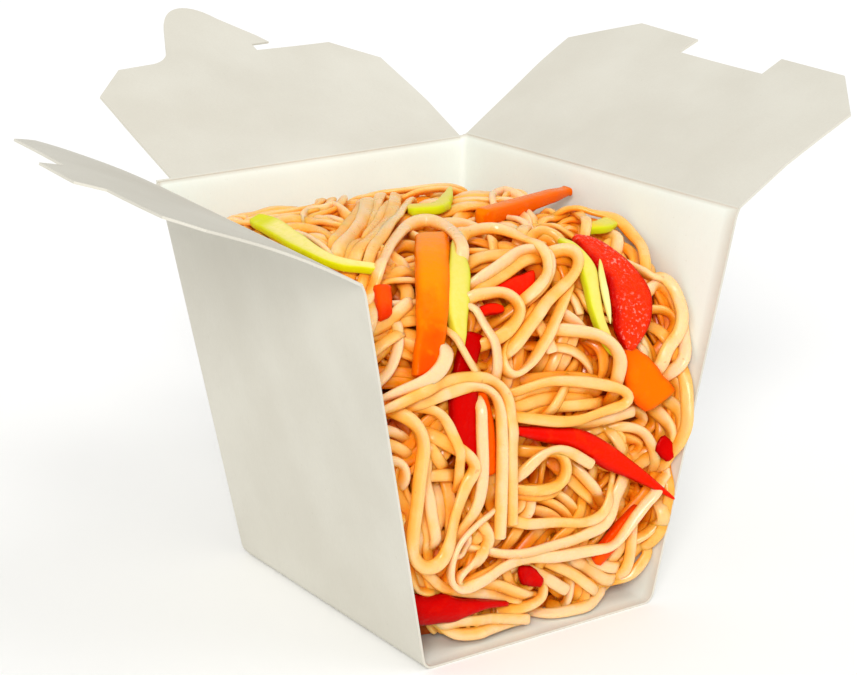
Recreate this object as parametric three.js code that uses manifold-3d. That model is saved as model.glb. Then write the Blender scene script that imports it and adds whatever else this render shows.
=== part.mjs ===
// A square noodle takeaway box of white card, heaped with saucy noodles and strips of vegetable.
// The front of the box is left out, so that the noodles show from the floor to the rim. The back
// and the two sides end in flaps that fold outward, or shut over the food.
//
// Millimetres, +Z up. The origin is the middle of the floor, on the table. The open front faces -Y.

import * as THREE from 'three';
import { mergeVertices } from 'three/addons/utils/BufferGeometryUtils.js';
import Module from 'manifold-3d';

const wasm = await Module();
wasm.setup();

// ---------------------------------------------------------------- driving dimensions

const HEIGHT = 100; // the back flap's fold above the table
const CARD = 0.6; // thickness of the card
const GAP = 0.3; // clearance between pieces that lie against each other

const FLOOR = { x: 34.9, y: 42.9 }; // half the floor's width and depth
const RIM_BACK = { x: 48.4, y: 59.3 }; // the rim's back corners, at HEIGHT
const RIM_FRONT = { x: 54.4, y: -47.3 }; // the rim's front corners, at HEIGHT
const FLOOR_ROUND = 2.6; // radius of the fold between floor and walls
const CORNER_ROUND = 0.032; // round of the two back corners, as a share of the half width

const HINGE_OUT = 0.2; // how far a fold's axis lies outside the wall
const HINGE_RISE = CARD / 2 + GAP; // how far it lies above the wall's cut top
const FLAP_STEP = 0.85; // the flaps shut one above the other, this far apart

const NOODLE = 3.7; // thickness of a noodle
const CORE_DEPTH = 5; // how far the heap's core lies below its outline
const FOOD_TOP = 96.9; // nothing in the box stands higher, so the flaps shut over it

// ---------------------------------------------------------------- helpers for solids

const lerp = THREE.MathUtils.lerp;
const clamp = THREE.MathUtils.clamp;
const radians = THREE.MathUtils.degToRad;

/** Moves every corner of a geometry to where place(corner) puts it. */
function warp(geometry, place) {
  const position = geometry.getAttribute('position');
  const corner = new THREE.Vector3();
  for (let index = 0; index < position.count; index += 1) {
    const moved = place(corner.fromBufferAttribute(position, index));
    position.setXYZ(index, moved.x, moved.y, moved.z);
  }
  return geometry;
}

/** A geometry as a solid that can be joined and cut, with its faces turned outward. */
function solid(geometry) {
  const bare = geometry.clone();
  bare.deleteAttribute('normal');
  bare.deleteAttribute('uv');
  const merged = mergeVertices(bare, 1e-4);
  const vertProperties = new Float32Array(merged.getAttribute('position').array);
  const triVerts = new Uint32Array(merged.index.array);
  const build = () => new wasm.Manifold(new wasm.Mesh({ numProp: 3, vertProperties, triVerts }));
  const shape = build();
  if (shape.volume() > 0) return shape;
  for (let first = 0; first < triVerts.length; first += 3) triVerts.subarray(first, first + 3).reverse();
  return build();
}

/** A solid as a named mesh in its own colour. */
function meshOf(shape, name, { colour, roughness = 0.6 }) {
  const { vertProperties, triVerts } = shape.getMesh();
  const geometry = new THREE.BufferGeometry();
  geometry.setAttribute('position', new THREE.BufferAttribute(vertProperties, 3));
  geometry.setIndex(new THREE.BufferAttribute(triVerts, 1));
  geometry.computeVertexNormals();
  const material = new THREE.MeshStandardMaterial({ color: colour, roughness, metalness: 0 });
  const mesh = new THREE.Mesh(geometry, material);
  mesh.name = name;
  return mesh;
}

/** The piece of a cut shape that has the most volume. */
function largestPiece(shape) {
  const pieces = shape.decompose();
  return pieces.reduce((best, piece) => (piece.volume() > best.volume() ? piece : best));
}

/** A box between two corners. */
function block(low, high) {
  const size = new THREE.Vector3().subVectors(high, low);
  const middle = new THREE.Vector3().addVectors(low, high).multiplyScalar(0.5);
  const geometry = new THREE.BoxGeometry(size.x, size.y, size.z);
  return solid(geometry.translate(middle.x, middle.y, middle.z));
}

/** Splits the triangles that cross the line y = level, so that a flat plate can be bent there. */
function cutAcross(geometry, level) {
  const position = geometry.getAttribute('position');
  const corners = [];
  for (let index = 0; index < position.count; index += 3) {
    const face = [0, 1, 2].map((step) => new THREE.Vector3().fromBufferAttribute(position, index + step));
    const side = face.map((corner) => Math.sign(Math.abs(corner.y - level) < 1e-6 ? 0 : corner.y - level));
    const lone = [0, 1, 2].find((step) => side[step] * side[(step + 1) % 3] < 0
      && side[step] * side[(step + 2) % 3] <= 0);
    if (lone === undefined) {
      corners.push(...face);
      continue;
    }
    const [tip, next, last] = [0, 1, 2].map((step) => face[(lone + step) % 3]);
    const crossing = (from, to) => from.clone().lerp(to, (level - from.y) / (to.y - from.y));
    const onNext = tip.y < next.y ? crossing(tip, next) : crossing(next, tip);
    if (Math.abs(last.y - level) < 1e-6) {
      corners.push(tip, onNext, last, onNext, next, last);
      continue;
    }
    const onLast = tip.y < last.y ? crossing(tip, last) : crossing(last, tip);
    corners.push(tip, onNext, onLast, onNext, next, last, onNext, last, onLast);
  }
  return new THREE.BufferGeometry().setFromPoints(corners);
}

// ---------------------------------------------------------------- the card box

/** Half the box's width at a depth y and a height z, on the outside of the card. */
function halfWidth(y, z) {
  const rise = z / HEIGHT;
  const back = lerp(FLOOR.y, RIM_BACK.y, rise);
  const front = lerp(-FLOOR.y, RIM_FRONT.y, rise);
  const forward = (back - y) / (back - front);
  return lerp(lerp(FLOOR.x, RIM_BACK.x, rise), lerp(FLOOR.x, RIM_FRONT.x, rise), forward);
}

/**
 * The space inside the box's outer faces, drawn in by inset at the back and the sides, and longer
 * by reach at the front. Its foot is rounded as the fold of the floor is.
 */
function boxSpace(inset, bottom, top, reach) {
  const outline = new THREE.Shape();
  const round = 1 - CORNER_ROUND;
  outline.moveTo(-1, -1).lineTo(1, -1).lineTo(1, round);
  outline.absarc(round, round, CORNER_ROUND, 0, Math.PI / 2);
  outline.lineTo(-round, 1);
  outline.absarc(-round, round, CORNER_ROUND, Math.PI / 2, Math.PI);
  const radius = Math.max(FLOOR_ROUND - inset, 0.1);
  const foot = [0, 0.12, 0.45, 1].map((share) => lerp(bottom, FLOOR_ROUND, share));
  const levels = [...foot, 28, 52, 76, top];
  const steps = levels.length - 1;
  const prism = new THREE.ExtrudeGeometry(outline, {
    depth: steps, steps, curveSegments: 3, bevelEnabled: false,
  });
  return solid(warp(prism, (corner) => {
    const z = levels[Math.round(corner.z)];
    const below = Math.min(Math.max(FLOOR_ROUND - z, 0), radius);
    const drawnIn = inset + radius - Math.sqrt(radius ** 2 - below ** 2);
    const rise = z / HEIGHT;
    const back = lerp(FLOOR.y, RIM_BACK.y, rise) - drawnIn;
    const front = lerp(-FLOOR.y, RIM_FRONT.y, rise) - reach;
    const y = lerp(front, back, (corner.y + 1) / 2);
    return new THREE.Vector3(corner.x * (halfWidth(y, z) - drawnIn), y, z);
  }));
}

const foldHeight = { left: HEIGHT - FLAP_STEP, back: HEIGHT, right: HEIGHT + FLAP_STEP };

/** The box without its flaps: floor, back and two sides, each cut off below its flap's fold. */
function cardBox() {
  const over = HEIGHT + 4;
  const sheet = boxSpace(0, 0, over, 0).subtract(boxSpace(CARD, CARD, over + 1, 8));
  const above = (height, left, right, back) => block(
    new THREE.Vector3(left, -80, height - HINGE_RISE),
    new THREE.Vector3(right, back, over + 2),
  );
  const insideRight = RIM_BACK.x - 2 * CARD;
  const insideBack = RIM_BACK.y - 2 * CARD;
  return sheet
    .subtract(above(foldHeight.right, -80, 80, 80))
    .subtract(above(foldHeight.back, -80, insideRight, 80))
    .subtract(above(foldHeight.left, -80, 0, insideBack));
}

// ---------------------------------------------------------------- the flaps

/** A fold of the rim, from one corner to the next, with the direction that points away from the box. */
function foldLine(from, to, height, away) {
  const corner = (end) => {
    const spread = halfWidth(end.y, height);
    return new THREE.Vector3(Math.sign(end.x) * spread, end.y, height);
  };
  const start = corner(from);
  const along = corner(to).sub(start).normalize();
  const out = new THREE.Vector3().crossVectors(along, new THREE.Vector3(0, 0, 1)).normalize();
  out.multiplyScalar(Math.sign(out.dot(away)));
  start.addScaledVector(out, HINGE_OUT);
  return { start, along, out };
}

const corners = {
  backLeft: new THREE.Vector3(-RIM_BACK.x, RIM_BACK.y, 0),
  backRight: new THREE.Vector3(RIM_BACK.x, RIM_BACK.y, 0),
  frontRight: new THREE.Vector3(RIM_FRONT.x, RIM_FRONT.y, 0),
  frontLeft: new THREE.Vector3(-RIM_FRONT.x, RIM_FRONT.y, 0),
};

const folds = {
  left: foldLine(corners.backLeft, corners.frontLeft, foldHeight.left, new THREE.Vector3(-1, 0, 0)),
  back: foldLine(corners.backLeft, corners.backRight, foldHeight.back, new THREE.Vector3(0, 1, 0)),
  right: foldLine(corners.backRight, corners.frontRight, foldHeight.right, new THREE.Vector3(1, 0, 0)),
};

/**
 * A flap of card that leans out from its fold. The outline is drawn flat, x along the fold and y away
 * from it; lean is the angle from upright at the fold, and curl the turn over each 100 mm of card.
 */
function flap(outline, fold, lean, curl) {
  const plate = new THREE.ExtrudeGeometry(outline, { depth: CARD, curveSegments: 5, bevelEnabled: false });
  const rows = curl > 5 ? 5 : 2;
  const reach = 60;
  let flat = plate;
  for (let row = 1; row < rows; row += 1) flat = cutAcross(flat, (reach * row) / rows);
  const bend = radians(Math.max(curl, 0.01)) / 100;
  const start = radians(lean);
  return solid(warp(flat, ({ x, y, z }) => {
    const angle = start + bend * y;
    const offset = z - CARD / 2;
    const outward = (Math.cos(start) - Math.cos(angle)) / bend + offset * Math.cos(angle);
    const upward = (Math.sin(angle) - Math.sin(start)) / bend - offset * Math.sin(angle);
    const point = fold.start.clone().addScaledVector(fold.along, x).addScaledVector(fold.out, outward);
    return point.setZ(point.z + upward);
  }));
}

/** The back flap: wide shoulders, and a barbed tongue in the middle that tucks into a slot. */
function backFlapOutline() {
  const outline = new THREE.Shape();
  outline.moveTo(4.8, 0).lineTo(2.8, 38.5).lineTo(13.6, 49.5).lineTo(25, 50.5);
  outline.quadraticCurveTo(29.5, 51.5, 31.5, 56);
  outline.lineTo(36.7, 67.6);
  outline.bezierCurveTo(41.5, 78.5, 49.5, 79.5, 54.7, 69.5);
  outline.lineTo(62.4, 59.3).lineTo(64.5, 55.6).lineTo(58.7, 55.4).lineTo(58.7, 52.2);
  outline.lineTo(82.5, 52).lineTo(94, 41.3).lineTo(95.6, 17.7).lineTo(95.4, 0);
  return outline;
}

/** The right flap: the long one, with a shallow notch in its far edge. */
function rightFlapOutline() {
  const outline = new THREE.Shape();
  outline.moveTo(0.9, 0).lineTo(-1, 16).lineTo(-3.2, 34).lineTo(-4, 46.3).lineTo(14, 59.3);
  outline.lineTo(38.1, 57.6).lineTo(37.2, 50.8).lineTo(70.5, 48.9).lineTo(71, 56.3);
  outline.lineTo(95, 54.3).lineTo(108.6, 40.6).lineTo(106.6, 18).lineTo(106.6, 0);
  return outline;
}

/** The left flap: shorter, with a tab that stands out from its far edge. */
function leftFlapOutline() {
  const outline = new THREE.Shape();
  outline.moveTo(1.4, 0).lineTo(6.3, 38).lineTo(15.5, 47.5).lineTo(46.5, 47.8);
  outline.quadraticCurveTo(48, 51, 49.5, 55);
  outline.lineTo(69, 54.8);
  outline.quadraticCurveTo(70.5, 51, 71.5, 47.8);
  outline.lineTo(98, 47).lineTo(105.2, 40).lineTo(106.6, 0);
  return outline;
}

// ---------------------------------------------------------------- the heap's outline

const HEAP = {
  crest: 12, // depth y of its highest line
  top: 95.9,
  frontReach: 53,
  frontSwell: 3, // it reaches further forward on the right
  rearReach: 46,
  frontPower: 3.6,
  rearPower: 4.6,
  rightDrop: 9, // how far it falls towards the right wall
  leftDrop: 4,
  toe: 9, // how far its foot draws back in the corners
  width: 90, // the unrolled surface runs from -45 to 45 across
};

/** The heap's outline at a share across (-1 to 1) and an angle from the front foot over the top. */
function heapOutline(across, angle, inset = 0) {
  const cos = Math.cos(angle);
  const sin = Math.abs(Math.sin(angle));
  const front = cos > 0;
  const reach = (front ? HEAP.frontReach + HEAP.frontSwell * clamp(across, 0, 1) : HEAP.rearReach) - inset;
  const power = 2 / (front ? HEAP.frontPower : HEAP.rearPower);
  const drop = HEAP.rightDrop * clamp(across, 0, 1) ** 5 + HEAP.leftDrop * clamp(-across, 0, 1) ** 6;
  const z = (HEAP.top - drop - inset) * sin ** power;
  const foot = front ? HEAP.toe * Math.abs(across) ** 6 * clamp(1 - z / 26, 0, 1) ** 2 : 0;
  const y = HEAP.crest - Math.sign(cos) * reach * Math.abs(cos) ** power + foot;
  return new THREE.Vector3(across * (halfWidth(y, z) - CARD - GAP), y, z);
}

const SAMPLES = 720;
const arcLengths = [0];
for (let step = 1; step <= SAMPLES; step += 1) {
  const here = heapOutline(0, (Math.PI * step) / SAMPLES);
  const before = heapOutline(0, (Math.PI * (step - 1)) / SAMPLES);
  arcLengths.push(arcLengths[step - 1] + here.distanceTo(before));
}

/** The angle at which the middle line of the heap is a length q up from the front foot. */
function angleAt(q) {
  const next = clamp(arcLengths.findIndex((length) => length > q), 1, SAMPLES);
  const span = arcLengths[next] - arcLengths[next - 1];
  const share = clamp((q - arcLengths[next - 1]) / span, 0, 1);
  return (Math.PI * (next - 1 + share)) / SAMPLES;
}

/** The point of the heap's outline that is a mm across and q mm up, lifted by lift. */
function heapPoint(a, q, lift) {
  const at = (da, dq) => heapOutline((2 * (a + da)) / HEAP.width, angleAt(Math.max(q + dq, 0)));
  const across = at(1, 0).sub(at(-1, 0));
  const upward = at(0, 1).sub(at(0, -1));
  const normal = across.cross(upward).normalize();
  return at(0, 0).addScaledVector(normal, lift);
}

/** The heap's core: its outline drawn in, from wall to wall. */
function heapCore() {
  const turns = 26;
  const cells = 12;
  const section = new THREE.Shape();
  for (let turn = 0; turn <= turns; turn += 1) {
    const angle = (Math.PI * turn) / turns;
    section[turn ? 'lineTo' : 'moveTo'](-Math.cos(angle), Math.sin(angle));
  }
  const bar = new THREE.ExtrudeGeometry(section, { depth: cells, steps: cells, bevelEnabled: false });
  return solid(warp(bar, (corner) => {
    const angle = clamp(Math.atan2(corner.y, -corner.x), 0, Math.PI);
    const point = heapOutline((2 * corner.z) / cells - 1, angle, CORE_DEPTH);
    return point.setZ(Math.max(point.z, CARD + GAP));
  }));
}

// ---------------------------------------------------------------- long pieces laid on the heap

const surface = { cell: 1, left: -50, columns: 101, rows: 190 };
surface.height = new Float32Array(surface.columns * surface.rows).fill(-CORE_DEPTH);

/** Calls visit(cell, distance) for each cell of the surface within reach of a point. */
function eachCellNear({ x, y }, reach, visit) {
  for (let row = Math.ceil(y - reach); row <= y + reach; row += 1) {
    for (let column = Math.ceil(x - reach); column <= x + reach; column += 1) {
      const place = column - surface.left;
      const distance = Math.hypot(column - x, row - y);
      if (distance > reach || place < 0 || place >= surface.columns) continue;
      if (row >= 0 && row < surface.rows) visit(row * surface.columns + place, distance);
    }
  }
}

/** How high a piece of the given half thickness rides along a path, over all that was laid before. */
function restingHeights(path, half) {
  const contact = path.map((point) => {
    let highest = -CORE_DEPTH;
    eachCellNear(point, half * 0.8, (cell) => {
      highest = Math.max(highest, surface.height[cell]);
    });
    return highest + half * 0.8;
  });
  const steepest = 0.5;
  const bridged = path.map((point, index) => Math.max(
    ...contact.map((height, other) => height - steepest * point.distanceTo(path[other])),
  ));
  return bridged.map((height, index) => {
    const near = bridged.slice(Math.max(index - 2, 0), index + 3);
    return near.reduce((sum, value) => sum + value, 0) / near.length;
  });
}

/** Marks a laid piece on the surface, so that later ones ride over it. */
function markLaid(path, heights, halfAcross, halfThick) {
  path.forEach((point, index) => {
    eachCellNear(point, halfAcross, (cell, distance) => {
      const crown = halfThick * Math.sqrt(1 - (distance / halfAcross) ** 2);
      surface.height[cell] = Math.max(surface.height[cell], heights[index] + crown);
    });
  });
}

/**
 * Sweeps a section along a path on the heap, level with the heap's surface.
 * halfAcross(share) and halfThick are its half sizes, height(share) its lift.
 */
function laidPiece(curve, section, steps, height, halfAcross, halfThick) {
  const bar = new THREE.ExtrudeGeometry(section, { depth: steps, steps, bevelEnabled: false });
  const centre = (share) => {
    const flat = curve.getPointAt(clamp(share, 0, 1));
    const point = heapPoint(flat.x, flat.y, height(clamp(share, 0, 1)));
    return point.setZ(Math.min(point.z, FOOD_TOP - halfThick));
  };
  const rings = [];
  for (let step = 0; step <= steps; step += 1) {
    const share = step / steps;
    const point = centre(share);
    const along = centre(share + 0.02).sub(centre(share - 0.02)).normalize();
    const flat = curve.getPointAt(share);
    const up = heapPoint(flat.x, flat.y, 1).sub(heapPoint(flat.x, flat.y, 0));
    const across = new THREE.Vector3().crossVectors(along, up).normalize();
    rings.push({ point, across, up: new THREE.Vector3().crossVectors(across, along) });
  }
  return solid(warp(bar, (corner) => {
    const ring = rings[Math.round(corner.z)];
    const wide = corner.x * halfAcross(corner.z / steps);
    return ring.point.clone().addScaledVector(ring.across, wide).addScaledVector(ring.up, corner.y * halfThick);
  }));
}

/** A many-sided section with half sizes of one; its flat sides face up and down. */
function sectionOf(sides, shoulder) {
  const section = new THREE.Shape();
  for (let side = 0; side < sides; side += 1) {
    const angle = (2 * Math.PI * side) / sides;
    const x = Math.cos(angle);
    const y = Math.sin(angle);
    const full = Math.abs(x) > 0.99 ? x : Math.sign(x) * shoulder;
    section[side ? 'lineTo' : 'moveTo'](full, Math.abs(y) < 0.01 ? 0 : Math.sign(y));
  }
  return section;
}

const noodleSection = sectionOf(6, 0.55);
const stripSection = sectionOf(6, 0.68);

/** A smooth curve on the unrolled surface through points given as [a, q]. */
function surfaceCurve(points) {
  const placed = points.map(([a, q]) => new THREE.Vector3(a, q, 0));
  return new THREE.CatmullRomCurve3(placed, false, 'centripetal');
}

/** A noodle laid along a curve, riding over what lies there. */
function noodle(points) {
  const curve = surfaceCurve(points);
  const path = curve.getSpacedPoints(Math.ceil(curve.getLength() / 1.5));
  const half = NOODLE / 2;
  const heights = restingHeights(path, half);
  markLaid(path, heights, half, half);
  const height = (share) => heights[Math.round(share * (heights.length - 1))];
  const steps = Math.max(4, Math.round(curve.getLength() / 5));
  return laidPiece(curve, noodleSection, steps, height, () => half, half * 0.94);
}

// ---------------------------------------------------------------- the vegetables

const RED = { colour: 0xd61a0c, roughness: 0.3 };
const ORANGE = { colour: 0xf58a06, roughness: 0.3 };
const YELLOW = { colour: 0xf3dc3c, roughness: 0.35 };
const GREEN = { colour: 0xc9cf2e, roughness: 0.45 };

// Each strip has a middle line of [a, q] points on the heap, a width, a thickness, and the lift of
// its middle above the heap's outline. A blunt end keeps its width; the others run to a tip.
const strips = [
  { name: 'orange_pepper_strip', finish: ORANGE, width: 9, thick: 3.4, lift: -0.9, blunt: 'both',
    line: [[-26.3, 73], [-21, 86], [-12.5, 102], [-5, 116]] },
  { name: 'yellow_pepper_strip', finish: YELLOW, width: 4.8, thick: 3.2, lift: -1.5, blunt: 'none',
    line: [[-15.5, 75], [-12.4, 89], [-7.4, 99], [-2.5, 109]] },
  { name: 'yellow_top_strip', finish: YELLOW, width: 3.6, thick: 2.6, lift: -0.8, blunt: 'start',
    line: [[0.5, 126], [8.7, 131], [16, 141]] },
  { name: 'yellow_side_piece', finish: YELLOW, width: 5, thick: 2.8, lift: -1.4, blunt: 'both',
    line: [[28, 104], [34, 105], [39.5, 109]] },
  { name: 'leek_strip', finish: GREEN, width: 4.2, thick: 2.2, lift: -0.6, blunt: 'start',
    line: [[-28.5, 101.5], [-35, 110], [-37, 125], [-37, 141]] },
  { name: 'carrot_stick', finish: ORANGE, width: 3.2, thick: 2.8, lift: -0.4, blunt: 'start',
    line: [[12, 121], [24, 124], [38, 127]] },
  { name: 'red_pepper_curl', finish: RED, width: 9.5, thick: 3, lift: -1, blunt: 'start',
    line: [[24.5, 99], [29, 93], [31, 86], [30.5, 77], [27.5, 68.5]] },
  { name: 'green_pepper_strip', finish: GREEN, width: 4.6, thick: 3, lift: -1.6, blunt: 'start',
    line: [[20.5, 100], [21.5, 92], [20.5, 84], [21, 76], [24.5, 67]] },
  { name: 'red_pepper_back', finish: RED, width: 4.8, thick: 2.6, lift: -3, blunt: 'start',
    line: [[-4, 88], [3, 88.5], [10, 92]] },
  { name: 'red_pepper_middle', finish: RED, width: 8.6, thick: 3, lift: -3.2, blunt: 'end',
    line: [[-11, 79], [-17, 70], [-19.2, 62], [-18, 49]] },
  { name: 'orange_pepper_sliver', finish: ORANGE, width: 3.4, thick: 2.6, lift: -3.4, blunt: 'both',
    line: [[-13, 64.5], [-12.6, 54], [-13.2, 43]] },
  { name: 'red_pepper_pointed', finish: RED, width: 5.6, thick: 3, lift: -1.3, blunt: 'start',
    line: [[-5, 53.3], [8, 49.3], [22, 41.5], [35, 34.8], [43.5, 30.6]] },
  { name: 'red_pepper_low', finish: RED, width: 7.8, thick: 3.2, lift: -2.4, blunt: 'start',
    line: [[-42, 12.8], [-32, 12], [-21, 10.8], [-9, 9.2]] },
  { name: 'orange_pepper_side', finish: ORANGE, width: 9, thick: 3, lift: -2, blunt: 'both',
    line: [[27, 66], [31.5, 59.5], [38.5, 55]] },
  { name: 'orange_pepper_tip', finish: ORANGE, width: 4.4, thick: 2.4, lift: -1.4, blunt: 'start',
    line: [[-31, 88], [-28.5, 93], [-26.5, 98.5]] },
  { name: 'red_pepper_corner', finish: RED, width: 4.8, thick: 2.8, lift: -2.2, blunt: 'both',
    line: [[34, 25], [28, 20], [21.5, 14.5]] },
];

/** One strip of vegetable, or with grow the space that its neighbours keep clear of. */
function stripSolid({ line, width, thick, lift, blunt }, grow) {
  const curve = surfaceCurve(line);
  const steps = Math.max(5, Math.round(curve.getLength() / 4.5));
  const spare = grow / curve.getLength();
  const narrow = 0.22;
  const taper = (share) => {
    const atStart = blunt === 'start' || blunt === 'both' ? 0.72 : narrow;
    const atEnd = blunt === 'end' || blunt === 'both' ? 0.72 : narrow;
    const reach = 0.3;
    const fromStart = lerp(atStart, 1, Math.sqrt(clamp((share + spare) / reach, 0, 1)));
    const fromEnd = lerp(atEnd, 1, Math.sqrt(clamp((1 - share + spare) / reach, 0, 1)));
    return Math.min(fromStart, fromEnd);
  };
  const halfAcross = (share) => (width / 2) * taper(share) + grow;
  return laidPiece(curve, stripSection, steps, () => lift, halfAcross, thick / 2 + grow);
}

/** Marks a strip on the surface, so that the noodles over it ride clear. */
function markStrip({ line, width, thick, lift }) {
  const curve = surfaceCurve(line);
  const path = curve.getSpacedPoints(Math.ceil(curve.getLength()));
  markLaid(path, path.map(() => lift + GAP), width / 2 + GAP, thick / 2);
}

// ---------------------------------------------------------------- the noodles

// The long noodles that give the heap its drawing, each with only the points its bends need.
const noodlesBelow = [
  [[-31, 59], [-31.7, 45], [-32.6, 29]],
  [[-36, 64.5], [-32, 58], [-37.5, 41], [-40.5, 30], [-35, 25], [-27, 35], [-19, 47], [-24, 53]],
  [[-26, 68.5], [-17, 74.5], [-10, 80]],
  [[-8, 69], [-8, 77], [-11, 87]],
  [[8, 76], [17, 73.5], [24, 67], [25, 61]],
  [[8, 71.7], [15, 68.5], [20, 63]],
  [[4, 83], [7, 75], [7, 70]],
  [[25, 48], [34, 46.5], [38.4, 36.5]],
  [[12, 51], [22, 51], [31, 52.5]],
  [[-6, 30], [6, 28], [20, 26.3], [24.5, 31.5]],
  [[-34.5, 7], [-25, 3.4], [-12, 3.2], [0, 3]],
  [[-12, 6.5], [2, 6.5], [5, 12]],
  [[9.5, 14.6], [19.5, 9], [27, 5]],
  [[21, 14.6], [30, 11], [35, 11]],
  [[12, 3.5], [21, 3.5], [29, 5.5]],
  [[-38, 25], [-31, 17], [-17, 12.8], [-2, 7.8]],
  [[43, 76], [42, 69], [37, 63]],
  [[-41, 60], [-36, 56], [-39, 47]],
  [[-27, 99], [-33, 90], [-39, 80]],
  [[-34, 107], [-24, 117], [-14, 129]],
  [[12, 104], [18, 107], [22, 101]],
  [[-4, 42], [5, 47], [16, 41]],
];
const noodlesAbove = [
  [[-40, 66.5], [-30, 68], [-20, 69], [-11.5, 67], [-7, 58], [-7.6, 42], [-8.3, 30]],
  [[-31, 65], [-20, 66], [-10.5, 63], [-9.7, 54], [-12.8, 28]],
  [[-13, 34], [-24, 30.5], [-30.5, 20], [-20, 17.6], [0, 19.7], [25, 18.6], [31, 24], [38, 32]],
  [[-15, 24], [-4, 22], [13, 22.2], [25, 26.5], [28.4, 34]],
  [[-6, 62.5], [8, 63.2], [24, 59], [25, 54.2], [8, 53.4], [-5, 57]],
  [[15, 97], [19.3, 92.5], [3, 82.5], [-5, 72.5], [0, 69], [5.5, 74.5]],
  [[3, 46], [9.3, 42], [6.5, 37.2], [-6, 38.2]],
  [[-27, 101], [-20, 108.5], [-10, 120], [-2, 124], [0, 115], [-4, 104]],
  [[-14.5, 62], [-16.4, 48.5], [-22.5, 33]],
  [[-40, 69.5], [-27, 71], [-21, 77]],
  [[-6.5, 91.5], [8, 97.7], [14, 94], [4, 84.5]],
  [[-2, 107], [8, 109.5], [13.5, 97]],
  [[36, 80], [41.5, 77], [37, 68]],
];

const FILL_SEED = 7;
const FILL_SPACING = 13; // between the noodles that cover the top and the back
const FILL_FROM = 124; // the first row of them, up from the front foot
const FILL_TO = 172;
const BEND_LENGTH = 9; // from one point of such a noodle to the next

/** Draws the next of a fixed run of numbers between 0 and 1. */
function drawFrom(seed) {
  let state = seed;
  return () => {
    state = (state * 16807) % 2147483647;
    return state / 2147483647;
  };
}

/** Short bends of noodle spread evenly over the top and the back of the heap. */
function fillNoodles() {
  const draw = drawFrom(FILL_SEED);
  const jitter = () => 6 * (draw() - 0.5);
  const lines = [];
  for (let q = FILL_FROM; q < FILL_TO; q += FILL_SPACING) {
    for (let a = -36; a <= 36; a += FILL_SPACING) {
      const line = [[a + jitter(), q + jitter()]];
      let heading = Math.PI * draw();
      const turn = 1.4 * (draw() - 0.5);
      for (let step = 0; step < 3; step += 1) {
        const [lastA, lastQ] = line[step];
        const nextA = clamp(lastA + BEND_LENGTH * Math.cos(heading), -42, 42);
        line.push([nextA, clamp(lastQ + BEND_LENGTH * Math.sin(heading), 112, 178)]);
        heading += turn;
      }
      lines.push(line);
    }
  }
  return lines;
}

/** All the food: the noodles fused to one heap, and the strips that lie clear of it. */
function food() {
  const inside = boxSpace(CARD + GAP, CARD + GAP, FOOD_TOP, 12);
  const pieces = [heapCore()];
  [...fillNoodles(), ...noodlesBelow].forEach((line) => pieces.push(noodle(line)));
  strips.forEach(markStrip);
  noodlesAbove.forEach((line) => pieces.push(noodle(line)));

  const clear = strips.map((strip) => stripSolid(strip, GAP));
  const laid = strips.map((strip, index) => {
    let shape = stripSolid(strip, 0).intersect(inside);
    for (let other = 0; other < index; other += 1) shape = shape.subtract(clear[other]);
    return meshOf(largestPiece(shape), strip.name, strip.finish);
  });

  let heap = pieces.reduce((sum, piece) => sum.add(piece)).intersect(inside);
  clear.forEach((space) => {
    heap = heap.subtract(space);
  });
  return [meshOf(largestPiece(heap), 'noodles', { colour: 0xf0b060, roughness: 0.4 }), ...laid];
}

// ---------------------------------------------------------------- the whole

const card = { colour: 0xe9e8dc, roughness: 0.75 };
const group = new THREE.Group();
group.add(meshOf(cardBox(), 'card_box', card));
group.add(meshOf(flap(leftFlapOutline(), folds.left, 59.5, 26), 'left_flap', card));
group.add(meshOf(flap(backFlapOutline(), folds.back, 66.5, 0), 'back_flap', card));
group.add(meshOf(flap(rightFlapOutline(), folds.right, 61.5, 5), 'right_flap', card));
food().forEach((piece) => group.add(piece));

export default group;
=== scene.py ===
import logging
import math
from dataclasses import dataclass, field
from enum import Enum
from typing import Any, Callable, Optional, Sequence, Union

import bmesh
import bpy
import numpy as np
from mathutils import Matrix, Vector


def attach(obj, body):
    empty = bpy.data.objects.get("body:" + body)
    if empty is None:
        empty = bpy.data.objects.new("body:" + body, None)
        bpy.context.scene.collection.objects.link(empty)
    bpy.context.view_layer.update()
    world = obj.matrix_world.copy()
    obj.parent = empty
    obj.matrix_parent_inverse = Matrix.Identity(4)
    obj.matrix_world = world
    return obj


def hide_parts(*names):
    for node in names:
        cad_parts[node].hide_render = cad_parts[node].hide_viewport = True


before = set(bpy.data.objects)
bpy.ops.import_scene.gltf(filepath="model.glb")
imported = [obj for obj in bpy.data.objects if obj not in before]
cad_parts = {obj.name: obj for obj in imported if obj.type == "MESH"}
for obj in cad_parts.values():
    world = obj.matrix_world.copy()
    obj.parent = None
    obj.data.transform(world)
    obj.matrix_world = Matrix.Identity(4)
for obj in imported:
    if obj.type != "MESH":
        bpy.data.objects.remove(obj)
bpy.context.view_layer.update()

LOG = logging.getLogger("noodle_box")

Array = np.ndarray
Material = bpy.types.Material
MM = 0.001
BODY = "box"
Pair = tuple[float, float]
Triple = tuple[float, float, float]
Colour = tuple[float, float, float, float]


def linear(red: int, green: int, blue: int) -> Colour:
    """Turns a given colour into scene values, by the display's standard curve.

    Args:
        red: display steps of red, from 0 to 255.
        green: the same of green.
        blue: the same of blue.

    Returns:
        The colour, opaque.
    """
    def channel(step: int) -> float:
        """One channel's scene value."""
        share = step / 255
        return share / 12.92 if share <= 0.04045 else ((share + 0.055) / 1.055) ** 2.4
    return channel(red), channel(green), channel(blue), 1.0


# ---- shader graphs


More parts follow.
